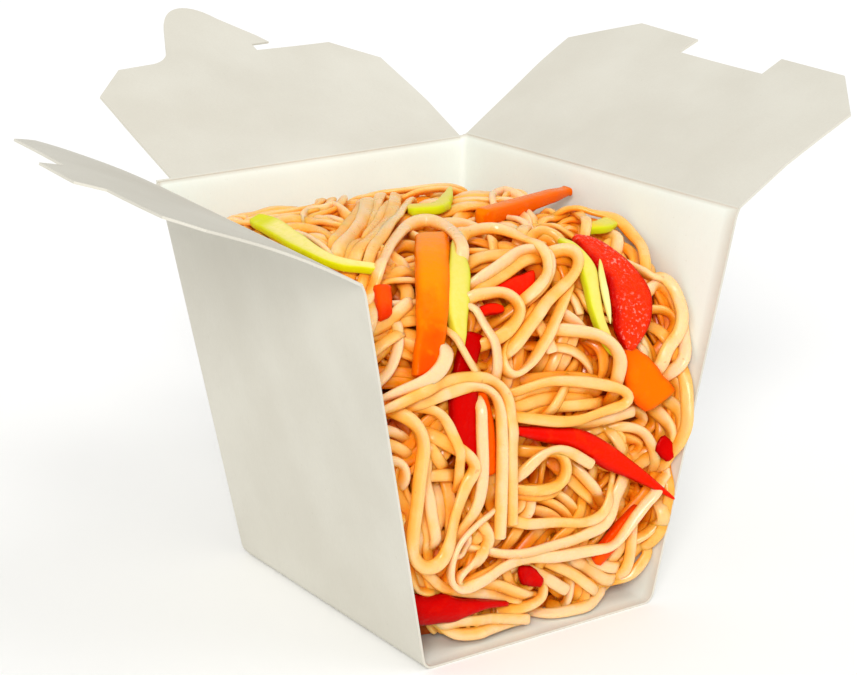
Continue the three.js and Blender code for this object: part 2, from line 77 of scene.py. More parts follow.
class Signal:
    """An output socket of a shader node. Arithmetic on it adds Math nodes to its graph."""

    def __init__(self, graph: "ShaderGraph", socket: bpy.types.NodeSocket) -> None:
        """Keeps the graph that the socket belongs to."""
        self.graph = graph
        self.socket = socket

    def _math(self, operation: str, first: "Wire", second: "Wire" = 0.0) -> "Signal":
        """Adds one Math node and returns its result."""
        return self.graph.add("ShaderNodeMath", {"operation": operation}, {0: first, 1: second})

    def __add__(self, other: "Wire") -> "Signal":
        """self + other."""
        return self._math("ADD", self, other)

    def __radd__(self, other: "Wire") -> "Signal":
        """other + self."""
        return self._math("ADD", other, self)

    def __sub__(self, other: "Wire") -> "Signal":
        """self - other."""
        return self._math("SUBTRACT", self, other)

    def __rsub__(self, other: "Wire") -> "Signal":
        """other - self."""
        return self._math("SUBTRACT", other, self)

    def __mul__(self, other: "Wire") -> "Signal":
        """self * other."""
        return self._math("MULTIPLY", self, other)

    def __rmul__(self, other: "Wire") -> "Signal":
        """other * self."""
        return self._math("MULTIPLY", other, self)

    def __truediv__(self, other: "Wire") -> "Signal":
        """self / other."""
        return self._math("DIVIDE", self, other)

    def over(self, low: float, high: float) -> "Signal":
        """Runs smoothly from 0 at low to 1 at high."""
        settings = {"interpolation_type": "SMOOTHSTEP"}
        return self.graph.add("ShaderNodeMapRange", settings, {0: self, 1: low, 2: high})


Wire = Union[Signal, float, tuple]


class ShaderGraph:
    """A material under construction."""

    def __init__(self, name: str) -> None:
        """Starts an empty material with one Principled shader."""
        self.material = bpy.data.materials.new(name)
        self.material.use_nodes = True
        self.tree = self.material.node_tree
        self.tree.nodes.clear()
        output = self.tree.nodes.new("ShaderNodeOutputMaterial")
        self.shader = self.tree.nodes.new("ShaderNodeBsdfPrincipled")
        self.tree.links.new(self.shader.outputs[0], output.inputs[0])

    def add(self, kind: str, settings: dict[str, Any], wires: dict[Union[int, str], Wire],
            out: Union[int, str] = 0) -> Signal:
        """Adds a node.

        Args:
            kind: the node's type.
            settings: its properties; "stops" fills a colour ramp with (place, colour) pairs.
            wires: a value or a link for each named or numbered input socket.
            out: the output socket wanted.

        Returns:
            The wanted output.
        """
        node = self.tree.nodes.new(kind)
        for name, value in settings.items():
            if name == "stops":
                self._fill_ramp(node, value)
            else:
                setattr(node, name, value)
        for name, wire in wires.items():
            self._plug(node.inputs[name], wire)
        return Signal(self, node.outputs[out])

    def _plug(self, socket: bpy.types.NodeSocket, wire: Wire) -> None:
        """Links a signal to a socket, or sets the socket's value."""
        if isinstance(wire, Signal):
            self.tree.links.new(wire.socket, socket)
        else:
            socket.default_value = wire

    @staticmethod
    def _fill_ramp(node: bpy.types.Node, stops: Sequence[tuple[float, Colour]]) -> None:
        """Sets a colour ramp's stops."""
        elements = node.color_ramp.elements
        while len(elements) < len(stops):
            elements.new(1.0)
        for element, (place, colour) in zip(elements, stops):
            element.position = place
            element.color = colour

    def place(self) -> Signal:
        """The point being shaded, in the piece's own frame."""
        return self.add("ShaderNodeTexCoord", {}, {}, "Object")

    def stored(self, name: str) -> Signal:
        """A number kept on the mesh's vertices."""
        return self.add("ShaderNodeAttribute", {"attribute_name": name}, {}, "Fac")

    def noise(self, size: float, detail: float = 3.0, where: Optional[Signal] = None,
              rough: float = 0.5) -> Signal:
        """Soft noise whose lumps are about size metres across, from 0 to 1."""
        wires = {"Vector": where or self.place(), "Scale": 1 / size, "Detail": detail,
                 "Roughness": rough}
        return self.add("ShaderNodeTexNoise", {}, wires, "Fac")

    def stretched(self, scale: Triple) -> Signal:
        """The point being shaded, scaled apart along each axis."""
        wires = {0: self.place(), 1: scale}
        return self.add("ShaderNodeVectorMath", {"operation": "MULTIPLY"}, wires)

    def ramp(self, factor: Wire, stops: Sequence[tuple[float, Colour]]) -> Signal:
        """A colour that runs through the stops as the factor goes from 0 to 1."""
        return self.add("ShaderNodeValToRGB", {"stops": stops}, {0: factor})

    def mix(self, factor: Wire, first: Wire, second: Wire) -> Signal:
        """A mix of two colours, the first at factor 0 and the second at 1."""
        wires = {0: factor, 6: first, 7: second}
        return self.add("ShaderNodeMix", {"data_type": "RGBA"}, wires, 2)

    def bump(self, height: Signal, depth: float, strength: float,
             under: Optional[Signal] = None) -> Signal:
        """A normal that shows relief.

        Args:
            height: the relief, from 0 to 1.
            depth: how deep it is at height 1, in metres.
            strength: how much of it shows, from 0 to 1.
            under: the normal of the relief that it lies on.

        Returns:
            The normal.
        """
        wires: dict[Union[int, str], Wire] = {"Height": height, "Distance": depth,
                                              "Strength": strength}
        if under is not None:
            wires["Normal"] = under
        return self.add("ShaderNodeBump", {}, wires)

    def shade(self, **wires: Wire) -> Material:
        """Sets the shader's sockets, underscores for spaces, and returns the material."""
        for name, wire in wires.items():
            self._plug(self.shader.inputs[name.replace("_", " ")], wire)
        return self.material


# ---- finishes


@dataclass(frozen=True)
class CardFinish:
    """Smooth white board with a faint warm mottle and short fibres. Sizes in metres."""

    name: str = "white_card"
    light: Colour = linear(213, 210, 198)
    shade: Colour = linear(204, 200, 187)
    # the inner colour: partly the card's coated side, partly painted light of the lit inside
    inner: Colour = linear(234, 241, 233)
    speck: Colour = linear(176, 168, 142)
    mottle: float = 0.034
    fibre: float = 0.0006
    fibre_run: Triple = (1.0, 1.0, 0.35)
    fibre_depth: float = 0.00008
    grain: float = 0.0025
    grain_depth: float = 0.00025
    speck_size: float = 0.0013
    speck_strength: float = 0.16

    def build(self) -> Material:
        """Makes the material."""
        graph = ShaderGraph(self.name)
        clouds = graph.noise(self.mottle, 3.0)
        fibres = graph.noise(self.fibre, 4.0, graph.stretched(self.fibre_run), 0.65)
        grain = graph.noise(self.grain, 3.0)
        tone = (clouds * 0.75 + fibres * 0.25).over(0.3, 0.7)
        colour = graph.mix(tone, self.shade, self.light)
        # inner faces take the lighter inner colour: the coated side, and painted light
        colour = graph.mix(graph.stored("inside") * (0.85 + 0.15 * tone), colour, self.inner)
        specks = graph.noise(self.speck_size, 2.0).over(0.71, 0.78)
        colour = graph.mix(specks * self.speck_strength, colour, self.speck)
        relief = graph.bump(grain, self.grain_depth, 0.18)
        relief = graph.bump(fibres, self.fibre_depth, 0.35, relief)
        return graph.shade(Base_Color=colour, Roughness=0.52 + 0.14 * fibres,
                           Specular_IOR_Level=0.3, Normal=relief)


@dataclass(frozen=True)
class NoodleFinish:
    """Wet noodle: pale on top, darker orange where it lies deeper, as painted shade with a sauce
    tint. Sizes in metres.
    """

    name: str = "noodle"
    crest: Colour = linear(247, 199, 142)
    upper: Colour = linear(248, 184, 92)
    side: Colour = linear(248, 164, 48)
    low: Colour = linear(248, 142, 14)
    deep: Colour = linear(232, 96, 0)
    bloom: Colour = linear(250, 208, 174)
    dot: Colour = linear(190, 104, 30)
    shade_and_soak_millimetres: float = 9.5
    patch: float = 0.009
    streak: float = 0.0011
    streak_depth: float = 0.00008
    dot_size: float = 0.0016
    dot_strength: float = 0.35
    film: float = 0.006
    swell: float = 0.0035
    swell_depth: float = 0.0004
    glow: float = 0.4
    glow_tint: Triple = (1.0, 0.42, 0.14)
    glow_reach: float = 0.0025

    def build(self) -> Material:
        """Makes the material."""
        graph = ShaderGraph(self.name)
        depth = graph.stored("depth")
        tone = graph.stored("tone")
        patches = graph.noise(self.patch, 2.0)
        # painted shade: the colour runs from pale to deep orange with the depth below the heap's
        # top, with a sauce tint
        shade_and_soak = depth / self.shade_and_soak_millimetres + (patches - 0.5) * 0.2 + (tone - 0.5) * 0.16
        colour = graph.ramp(shade_and_soak, [(0.0, self.crest), (0.1, self.upper), (0.26, self.side),
                                      (0.5, self.low), (0.95, self.deep)])
        streaks = graph.noise(self.streak, 3.0, rough=0.6)
        pale = (streaks - 0.35) * 0.4 + (0.5 - tone) * 0.5
        colour = graph.mix((pale * (1 - 2.5 * shade_and_soak)).over(0.0, 0.9), colour, self.bloom)
        dots = graph.noise(self.dot_size, 1.0).over(0.74, 0.79)
        colour = graph.mix(dots * self.dot_strength, colour, self.dot)
        wet = graph.noise(self.film, 2.0).over(0.35, 0.7)
        swells = graph.noise(self.swell, 2.0)
        relief = graph.bump(swells, self.swell_depth, 0.25,
                            graph.bump(streaks, self.streak_depth, 0.2))
        return graph.shade(Base_Color=colour, Roughness=0.4 - 0.18 * wet, Specular_IOR_Level=0.32,
                           Subsurface_Weight=self.glow, Subsurface_Radius=self.glow_tint,
                           Subsurface_Scale=self.glow_reach, Coat_Weight=wet * 0.2,
                           Coat_Roughness=0.15, Normal=relief)


@dataclass(frozen=True)
class PepperFinish:
    """Cooked vegetable: a glossy skin side and a paler, pitted flesh side; its edges and one side
    run towards a rim colour as painted shade.

    Skin runs into foot along the strip, and back to skin past the crown. Sizes in metres.
    """

    name: str
    skin: Colour
    foot: Colour
    flesh: Colour
    # rim: the colour of the painted shade on the edges and one side
    rim: Colour
    sheen: Colour
    pits: float = 0.25
    shine: float = 0.12
    crown: float = 2.0
    # glints, glint and glint_size: painted highlights on the wet parts
    glints: float = 0.0
    glint: Colour = (1.0, 0.42, 0.34, 1.0)
    glint_size: float = 0.0008
    film: float = 0.007
    cloud: float = 0.009
    fibre: float = 0.0011
    spot: float = 0.0042
    spot_strength: float = 0.18
    pit: float = 0.0014
    pit_depth: float = 0.0009
    swell: float = 0.006
    swell_depth: float = 0.0012

    def build(self) -> Material:
        """Makes the material."""
        graph = ShaderGraph(self.name)
        edge = graph.stored("edge")
        fleshy = graph.stored("flesh")
        along = graph.stored("along")
        clouds = graph.noise(self.cloud, 3.0)
        footward = ((1 - along) * 1.3 + (clouds - 0.5) * 0.6).over(0.62, 1.2)
        colour = graph.mix(footward, self.skin, self.foot)
        fibres = graph.noise(self.fibre, 3.0, rough=0.6)
        pale = (fleshy * 0.8 + (fibres - 0.5) * 1.2 * fleshy).over(0.0, 1.0)
        colour = graph.mix(pale, colour, self.flesh)
        # painted shade: the edges and one side of each strip run towards the rim colour
        turned = graph.stored("across").over(0.15, 0.95) * 0.45
        colour = graph.mix(edge * (0.5 + 0.5 * clouds) + turned, colour, self.rim)
        colour = graph.mix(along.over(self.crown, self.crown + 0.1), colour, self.skin)
        spots = graph.noise(self.spot, 2.0).over(0.56, 0.68)
        colour = graph.mix(spots * self.spot_strength, colour, self.flesh)
        pitted = graph.noise(self.pit, 2.0, rough=0.7)
        wet = graph.noise(self.film, 1.0).over(0.35, 0.6)
        # painted highlight: small pale glints on the wet parts, mixed into the colour
        sparkle = graph.noise(self.glint_size, 1.0).over(0.56, 0.72) * wet * (1 - edge)
        colour = graph.mix(sparkle * self.glints, colour, self.glint)
        relief = graph.bump(graph.noise(self.swell, 2.0), self.swell_depth, 0.35)
        relief = graph.bump(pitted, self.pit_depth, self.pits, relief)
        rough = 0.2 + 0.14 * fleshy + 0.16 * (clouds - 0.3)
        return graph.shade(Base_Color=colour, Roughness=rough, Specular_IOR_Level=self.shine,
                           Specular_Tint=self.sheen, Normal=relief)


RED_SHEEN = (1.0, 0.25, 0.2, 1.0)
ORANGE_SHEEN = (1.0, 0.55, 0.2, 1.0)
YELLOW_SHEEN = (1.0, 0.95, 0.5, 1.0)


class Dressing(Enum):
    """The kinds of vegetable: the slot that each belongs to, and its finish."""

    RED = "red_pepper", PepperFinish(
        "red_pepper", skin=linear(238, 28, 0), foot=linear(222, 10, 0), flesh=linear(246, 60, 2),
        rim=linear(178, 0, 0), sheen=RED_SHEEN)
    DEEP_RED = "red_pepper", PepperFinish(
        "red_pepper_deep", skin=linear(200, 2, 0), foot=linear(188, 0, 0), flesh=linear(226, 24, 0),
        rim=linear(160, 0, 0), sheen=RED_SHEEN)
    GLOSSY_RED = "red_pepper", PepperFinish(
        "red_pepper_glossy", skin=linear(236, 30, 0), foot=linear(228, 22, 0),
        flesh=linear(248, 62, 4), rim=linear(190, 4, 0), sheen=RED_SHEEN, pits=1.0, shine=0.2,
        glints=0.5)
    EMBER = "red_pepper", PepperFinish(
        "red_pepper_flesh", skin=linear(238, 74, 0), foot=linear(224, 46, 0),
        flesh=linear(246, 106, 4), rim=linear(226, 56, 0), sheen=ORANGE_SHEEN)
    ORANGE = "orange_pepper", PepperFinish(
        "orange_pepper", skin=linear(244, 140, 0), foot=linear(242, 74, 0),
        flesh=linear(250, 158, 6), rim=linear(242, 112, 0), sheen=ORANGE_SHEEN)
    AMBER = "orange_pepper", PepperFinish(
        "orange_pepper_side", skin=linear(240, 108, 0), foot=linear(238, 96, 0),
        flesh=linear(246, 128, 4), rim=linear(232, 84, 0), sheen=ORANGE_SHEEN)
    YELLOW = "yellow_pepper", PepperFinish(
        "yellow_pepper", skin=linear(222, 210, 80), foot=linear(234, 204, 52),
        flesh=linear(230, 214, 112), rim=linear(208, 214, 16), sheen=YELLOW_SHEEN, pits=0.15)
    GREEN = "green_pepper", PepperFinish(
        "green_pepper", skin=linear(232, 210, 84), foot=linear(206, 214, 20),
        flesh=linear(236, 216, 116), rim=linear(204, 210, 30), sheen=YELLOW_SHEEN, pits=0.15)
    LEEK = "leek", PepperFinish(
        "leek", skin=linear(216, 216, 0), foot=linear(238, 208, 84), flesh=linear(242, 226, 138),
        rim=linear(212, 208, 6), sheen=YELLOW_SHEEN, pits=0.15, crown=0.78)
    CARROT = "carrot", PepperFinish(
        "carrot", skin=linear(240, 112, 0), foot=linear(244, 126, 0), flesh=linear(246, 132, 4),
        rim=linear(236, 96, 0), sheen=ORANGE_SHEEN, pits=0.2)
    PALE = "yellow_pepper", PepperFinish(
        "pale_core", skin=linear(240, 222, 150), foot=linear(234, 214, 112),
        flesh=linear(244, 228, 168), rim=linear(234, 224, 136), sheen=YELLOW_SHEEN, pits=0.15)


@dataclass(frozen=True)
class SauceAndShadeFinish:
    """The thin orange sauce that fills the bottom of the gaps, darkened as painted shade of the
    deep gaps. Sizes in metres.
    """

    name: str = "sauce"
    thin: Colour = linear(222, 108, 14)
    thick: Colour = linear(150, 52, 6)
    pool: float = 0.007
    lump: float = 0.003
    lump_depth: float = 0.0012

    def build(self) -> Material:
        """Makes the material."""
        graph = ShaderGraph(self.name)
        pools = graph.noise(self.pool, 3.0)
        # painted shade: both colours are dark to stand for the shade deep in the gaps; the pools
        # only vary the tone
        colour = graph.mix(pools.over(0.3, 0.7), self.thick, self.thin)
        relief = graph.bump(graph.noise(self.lump, 3.0), self.lump_depth, 0.6)
        return graph.shade(Base_Color=colour, Roughness=0.4 + 0.2 * pools,
                           Specular_IOR_Level=0.2, Normal=relief)


@dataclass(frozen=True)
class FloorFinish:
    """A plain pale table top."""

    name: str = "studio_floor"
    light: Colour = linear(252, 252, 251)
    shade: Colour = linear(249, 249, 248)
    cloud: float = 0.4

    def build(self) -> Material:
        """Makes the material."""
        graph = ShaderGraph(self.name)
        colour = graph.mix(graph.noise(self.cloud, 2.0), self.shade, self.light)
        return graph.shade(Base_Color=colour, Roughness=0.8, Specular_IOR_Level=0.1)


# ---- meshes


class MeshSketch:
    """Vertices, faces and numbers kept on vertices, for one piece. Sizes in millimetres."""

    def __init__(self) -> None:
        """Starts empty."""
        self.points: list[Array] = []
        self.faces: list[tuple[int, ...]] = []
        self.count = 0
        self.marks: dict[str, list[Array]] = {}

    def add_points(self, points: Array, **marks: Array) -> int:
        """Adds vertices, with a number each for every mark, and returns the first one's index."""
        first = self.count
        self.points.append(np.asarray(points, dtype=float).reshape(-1, 3))
        self.count += len(self.points[-1])
        for name, values in marks.items():
            self.marks.setdefault(name, []).append(values)
        return first

    def add_grid(self, rows: Array, loop: bool, **marks: Array) -> int:
        """Adds a grid of vertices (rows, columns, 3) with its faces.

        Args:
            rows: the vertices.
            loop: whether the last column joins the first.
            marks: a number for each vertex.

        Returns:
            The index of the grid's first vertex.
        """
        count, columns = rows.shape[:2]
        first = self.add_points(rows, **marks)
        last = columns if loop else columns - 1
        column = np.arange(last)
        base = first + columns * np.arange(count - 1)[:, None]
        following = (column + 1) % columns
        corners = [base + column, base + following, base + columns + following,
                   base + columns + column]
        self.faces += np.stack(corners, axis=-1).reshape(-1, 4).tolist()
        return first

    def add_tube(self, rings: Array, **marks: Array) -> None:
        """Adds a tube that is shut at both ends.

        Args:
            rings: its vertices (rings, points round a ring, 3).
            marks: a number for each vertex.
        """
        count, around = rings.shape[:2]
        first = self.add_grid(rings, True, **marks)
        for start in (first, first + around * (count - 1)):
            self.faces.append(tuple(range(start, start + around)))

    def piece(self, name: str, material: Material, sharp: float) -> bpy.types.Object:
        """Makes the object.

        Args:
            name: its name.
            material: its finish.
            sharp: edges that turn more than this many degrees stay sharp.

        Returns:
            The new object, in the scene.
        """
        mesh = bpy.data.meshes.new(name)
        mesh.from_pydata((np.concatenate(self.points) * MM).tolist(), [], self.faces)
        for mark, values in self.marks.items():
            stored = mesh.attributes.new(mark, "FLOAT", "POINT")
            stored.data.foreach_set("value", np.concatenate(values).astype(np.float32))
        shell = bmesh.new()
        shell.from_mesh(mesh)
        bmesh.ops.recalc_face_normals(shell, faces=shell.faces)
        shell.to_mesh(mesh)
        shell.free()
        mesh.materials.append(material)
        mesh.shade_smooth()
        mesh.set_sharp_from_angle(angle=math.radians(sharp))
        made = bpy.data.objects.new(name, mesh)
        bpy.context.scene.collection.objects.link(made)
        return made


def report(piece: bpy.types.Object) -> None:
    """Logs one finished piece."""
    LOG.info("%s: %d faces", piece.name, len(piece.data.polygons))


def smooth_line(points: Sequence[Pair], spacing: float) -> Array:
    """A smooth curve through points, as samples a given spacing apart.

    Args:
        points: the points it passes.
        spacing: the distance between samples.

    Returns:
        The samples, one a row.
    """
    between = 24
    given = np.asarray(points, dtype=float)
    ends = [2 * given[0] - given[1], *given, 2 * given[-1] - given[-2]]
    dense = []
    for before, start, end, after in zip(ends, ends[1:], ends[2:], ends[3:]):
        share = np.linspace(0, 1, between, endpoint=False)[:, None]
        dense.append(0.5 * (2 * start + (end - before) * share
                            + (2 * before - 5 * start + 4 * end - after) * share ** 2
                            + (3 * start - before - 3 * end + after) * share ** 3))
    track = np.concatenate([*dense, given[-1:]])
    length = np.concatenate([[0], np.cumsum(np.linalg.norm(np.diff(track, axis=0), axis=1))])
    stops = np.linspace(0, length[-1], max(int(length[-1] / spacing) + 1, 4))
    return np.stack([np.interp(stops, length, column) for column in track.T], axis=1)


def unit(vectors: Array) -> Array:
    """Vectors scaled to length one."""
    return vectors / np.maximum(np.linalg.norm(vectors, axis=-1, keepdims=True), 1e-9)


def ring_angles(count: int) -> Array:
    """Even angles round a ring, the first at 0."""
    return np.linspace(0, 2 * math.pi, count + 1)[:-1]


def squared(values: Array, power: float) -> Array:
    """Values from -1 to 1 raised to a power, with their signs kept; a low power squares a ring."""
    return np.sign(values) * np.abs(values) ** power


def near_pairs(spots: Array, reach: float) -> tuple[Array, Array]:
    """All ordered pairs of points in the plane that lie closer than a reach, found cell by cell.

    Args:
        spots: the points, one a row.
        reach: the greatest distance.

    Returns:
        The first and the second point of each pair.
    """
    cells = np.floor((spots - spots.min(axis=0)) / reach).astype(int) + 1
    width = int(cells[:, 1].max()) + 2
    key = cells[:, 0] * width + cells[:, 1]
    order = np.argsort(key, kind="stable")
    firsts, seconds = [], []
    for shift in (-width - 1, -width, -width + 1, -1, 0, 1, width - 1, width, width + 1):
        start = np.searchsorted(key[order], key + shift, "left")
        count = np.searchsorted(key[order], key + shift, "right") - start
        place = np.arange(count.sum()) - np.repeat(np.cumsum(count) - count, count)
        firsts.append(np.repeat(np.arange(len(key)), count))
        seconds.append(order[np.repeat(start, count) + place])
    first, second = np.concatenate(firsts), np.concatenate(seconds)
    near = np.linalg.norm(spots[first] - spots[second], axis=1) < reach
    return first[near], second[near]


def largest_by(index: Array, size: int) -> Callable[[Array], Array]:
    """Makes a function that finds the largest of the values that share an index.

    Args:
        index: the index of each value.
        size: how many indices there are.

    Returns:
        The function; it gives 0 where an index has no value.
    """
    order = np.argsort(index, kind="stable")
    owners, starts = np.unique(index[order], return_index=True)

    def largest(values: Array) -> Array:
        """The largest value at each index."""
        found = np.zeros(size)
        found[owners] = np.maximum.reduceat(values[order], starts)
        return found
    return largest


# ---- the card


@dataclass(frozen=True)
class BoxForm:
    """Sizes of the card box, in millimetres."""

    height: float = 100.0
    card: float = 0.6
    floor_x: float = 34.9
    floor_y: float = 42.9
    rim_back_x: float = 48.4
    rim_back_y: float = 59.3
    rim_front_x: float = 54.4
    rim_front_y: float = -47.3
    floor_round: float = 2.6
    corner_round: float = 0.032
    hinge_out: float = 0.2
    flap_step: float = 0.85

    def back(self, z: Array) -> Array:
        """Depth of the back wall's outer face at a height."""
        return self.floor_y + (self.rim_back_y - self.floor_y) * z / self.height

    def front(self, z: Array) -> Array:
        """Depth of the open front at a height."""
        return -self.floor_y + (self.rim_front_y + self.floor_y) * z / self.height

    def half_width(self, y: Array, z: Array) -> Array:
        """Half the outer width at a depth and a height."""
        rise = z / self.height
        forward = (self.back(z) - y) / (self.back(z) - self.front(z))
        back = self.floor_x + (self.rim_back_x - self.floor_x) * rise
        front = self.floor_x + (self.rim_front_x - self.floor_x) * rise
        return back + (front - back) * forward

    def fold_height(self, side: float) -> float:
        """Height of a fold: side is -1 for the left flap, 0 for the back and 1 for the right."""
        return self.height + self.flap_step * side


BOX = BoxForm()


class Side(Enum):
    """The walls with a fold at their rim, and which way each lies across the box."""

    LEFT = -1.0
    BACK = 0.0
    RIGHT = 1.0


@dataclass
class CardShell:
    """The floor and the three walls, folded from one sheet, with the rounded creases of the rim."""

    form: BoxForm = BOX
    column_step: float = 0.075
    corner_steps: int = 6
    foot_shares: Sequence[float] = (0, 0.05, 0.16, 0.34, 0.6, 1)
    wall_levels: Pair = (0.08, 0.95)
    wall_rows: int = 14
    top_shares: Sequence[float] = (1, 0.66, 0.33, 0)
    lean_length: float = 3.0
    crease_radius: float = 0.4
    crease_sides: int = 12
    crease_rings: int = 40
    crease_coat_and_light: float = 0.15
    side_trim: Pair = (0.9, 0.3)
    back_trim: Pair = (0.5, 0.5)
    sharp: float = 35.0

    def plan(self) -> Array:
        """The walls' plan from the left front edge round to the right one, on a unit square."""
        round_off = self.form.corner_round
        straight = np.arange(-1, 1 - round_off, self.column_step)
        turn = np.linspace(0, math.pi / 2, self.corner_steps)
        centre = 1 - round_off
        left = [(-1.0, y) for y in straight]
        left_arc = [(-centre - round_off * math.cos(angle), centre + round_off * math.sin(angle))
                    for angle in turn]
        back = [(x, 1.0) for x in np.arange(-centre + self.column_step, centre, self.column_step)]
        right_arc = [(-x, y) for x, y in reversed(left_arc)]
        right = [(1.0, y) for y in reversed(straight)]
        return np.array(left + left_arc + back + right_arc + right)

    def ring(self, plan: Array, level: float, inset: float) -> Array:
        """One level of the wall.

        Args:
            plan: the unit plan.
            level: 0 at the table, 1 at the folds.
            inset: 0 on the outside of the card, its thickness on the inside.

        Returns:
            The ring's points.
        """
        form = self.form
        across = plan[:, 0]
        past = (np.abs(across) - (1 - form.corner_round)) / form.corner_round
        side = np.sign(across) * np.clip(past, 0, 1)
        top = form.height + form.flap_step * side
        z = inset + level * (top - inset)
        radius = form.floor_round - inset
        below = np.clip(form.floor_round - z, 0, radius)
        drawn_in = inset + radius - np.sqrt(np.maximum(radius ** 2 - below ** 2, 0))
        lean = form.hinge_out + form.card / 2
        drawn_in = drawn_in - lean * np.clip(1 - (top - z) / self.lean_length, 0, 1) ** 2
        y = form.front(z) + (form.back(z) - drawn_in - form.front(z)) * (plan[:, 1] + 1) / 2
        x = across * (form.half_width(y, z) - drawn_in)
        return np.stack([x, y, z], axis=1)

    def levels(self) -> list[float]:
        """The walls' levels, close together in the two folds."""
        foot = [share * self.form.floor_round / self.form.height for share in self.foot_shares]
        middle = list(np.linspace(*self.wall_levels, self.wall_rows))
        top = [1 - self.lean_length * share / self.form.height for share in self.top_shares]
        return foot + middle + top

    def add_crease(self, sketch: MeshSketch, fold: "Fold", start: float, end: float) -> None:
        """Adds the rounded crease along one fold of the rim.

        Args:
            sketch: the piece's mesh.
            fold: the fold.
            start: where the crease begins along the fold.
            end: where it ends.
        """
        turn = ring_angles(self.crease_sides)[None, :, None]
        centre = fold.start + np.outer(np.linspace(start, end, self.crease_rings), fold.along)
        rim = np.cos(turn) * fold.out + np.sin(turn) * np.array([0, 0, 1.0])
        rows = centre[:, None] + self.crease_radius * rim
        # the crease takes only a small share of the inner colour, which is partly painted light
        sketch.add_tube(rows, inside=np.full(rows.size // 3, self.crease_coat_and_light))

    def build(self, material: Material) -> bpy.types.Object:
        """Makes the piece.

        Args:
            material: its finish.

        Returns:
            The walls and the floor, as one object.
        """
        sketch = MeshSketch()
        plan = self.plan()
        levels = self.levels()
        columns, rows = len(plan), len(levels)
        outside = np.stack([self.ring(plan, level, 0.0) for level in levels])
        inside = np.stack([self.ring(plan, level, self.form.card) for level in levels])
        outer = sketch.add_grid(outside, False, inside=np.zeros(outside.size // 3))
        # inner faces, but not the top edge or the cut ends, take the inner colour: coated side and
        # painted light
        coat_and_light_mask = np.ones(inside.shape[:2])
        coat_and_light_mask[-1], coat_and_light_mask[:, 0], coat_and_light_mask[:, -1] = 0.0, 0.0, 0.0
        inner = sketch.add_grid(inside, False, inside=coat_and_light_mask.reshape(-1))
        faces = sketch.faces
        for column in range(columns - 1):
            above = (rows - 1) * columns + column
            faces.append((outer + above, outer + above + 1, inner + above + 1, inner + above))
            mirror = columns - 2 - column
            if column < mirror:
                faces += [(base + column, base + column + 1, base + mirror, base + mirror + 1)
                          for base in (outer, inner)]
        middle = columns // 2
        if columns % 2:
            faces += [(base + middle - 1, base + middle, base + middle + 1)
                      for base in (outer, inner)]
        for row in range(rows - 1):
            for column in (0, columns - 1):
                low = row * columns + column
                high = low + columns
                faces.append((outer + low, outer + high, inner + high, inner + low))
        faces.append((outer, outer + columns - 1, inner + columns - 1, inner))
        for side in Side:
            fold = Fold.of(side)
            start, end = self.back_trim if side is Side.BACK else self.side_trim
            self.add_crease(sketch, fold, start, fold.length - end)
        return sketch.piece("card_walls", material, self.sharp)


@dataclass(frozen=True)
class Fold:
    """One fold of the rim: where it starts, the way it runs, and the way that leads off the box."""

    start: Array
    along: Array
    out: Array
    length: float

    @staticmethod
    def of(side: Side, form: BoxForm = BOX) -> "Fold":
        """Finds the fold of one wall.

        Args:
            side: the wall.
            form: the box's sizes.

        Returns:
            Its fold.
        """
        way = side.value
        z = form.fold_height(way)
        back_x = float(form.half_width(form.rim_back_y, z))
        front_x = float(form.half_width(form.rim_front_y, z))
        if side is Side.BACK:
            ends = (-back_x, form.rim_back_y), (back_x, form.rim_back_y)
            away = np.array([0, 1.0, 0])
        else:
            ends = (way * back_x, form.rim_back_y), (way * front_x, form.rim_front_y)
            away = np.array([way, 0, 0])
        start, end = (np.array([x, y, z]) for x, y in ends)
        along = unit(end - start)
        out = unit(away - along * np.dot(away, along))
        return Fold(start + out * form.hinge_out, along, out, float(np.linalg.norm(end - start)))


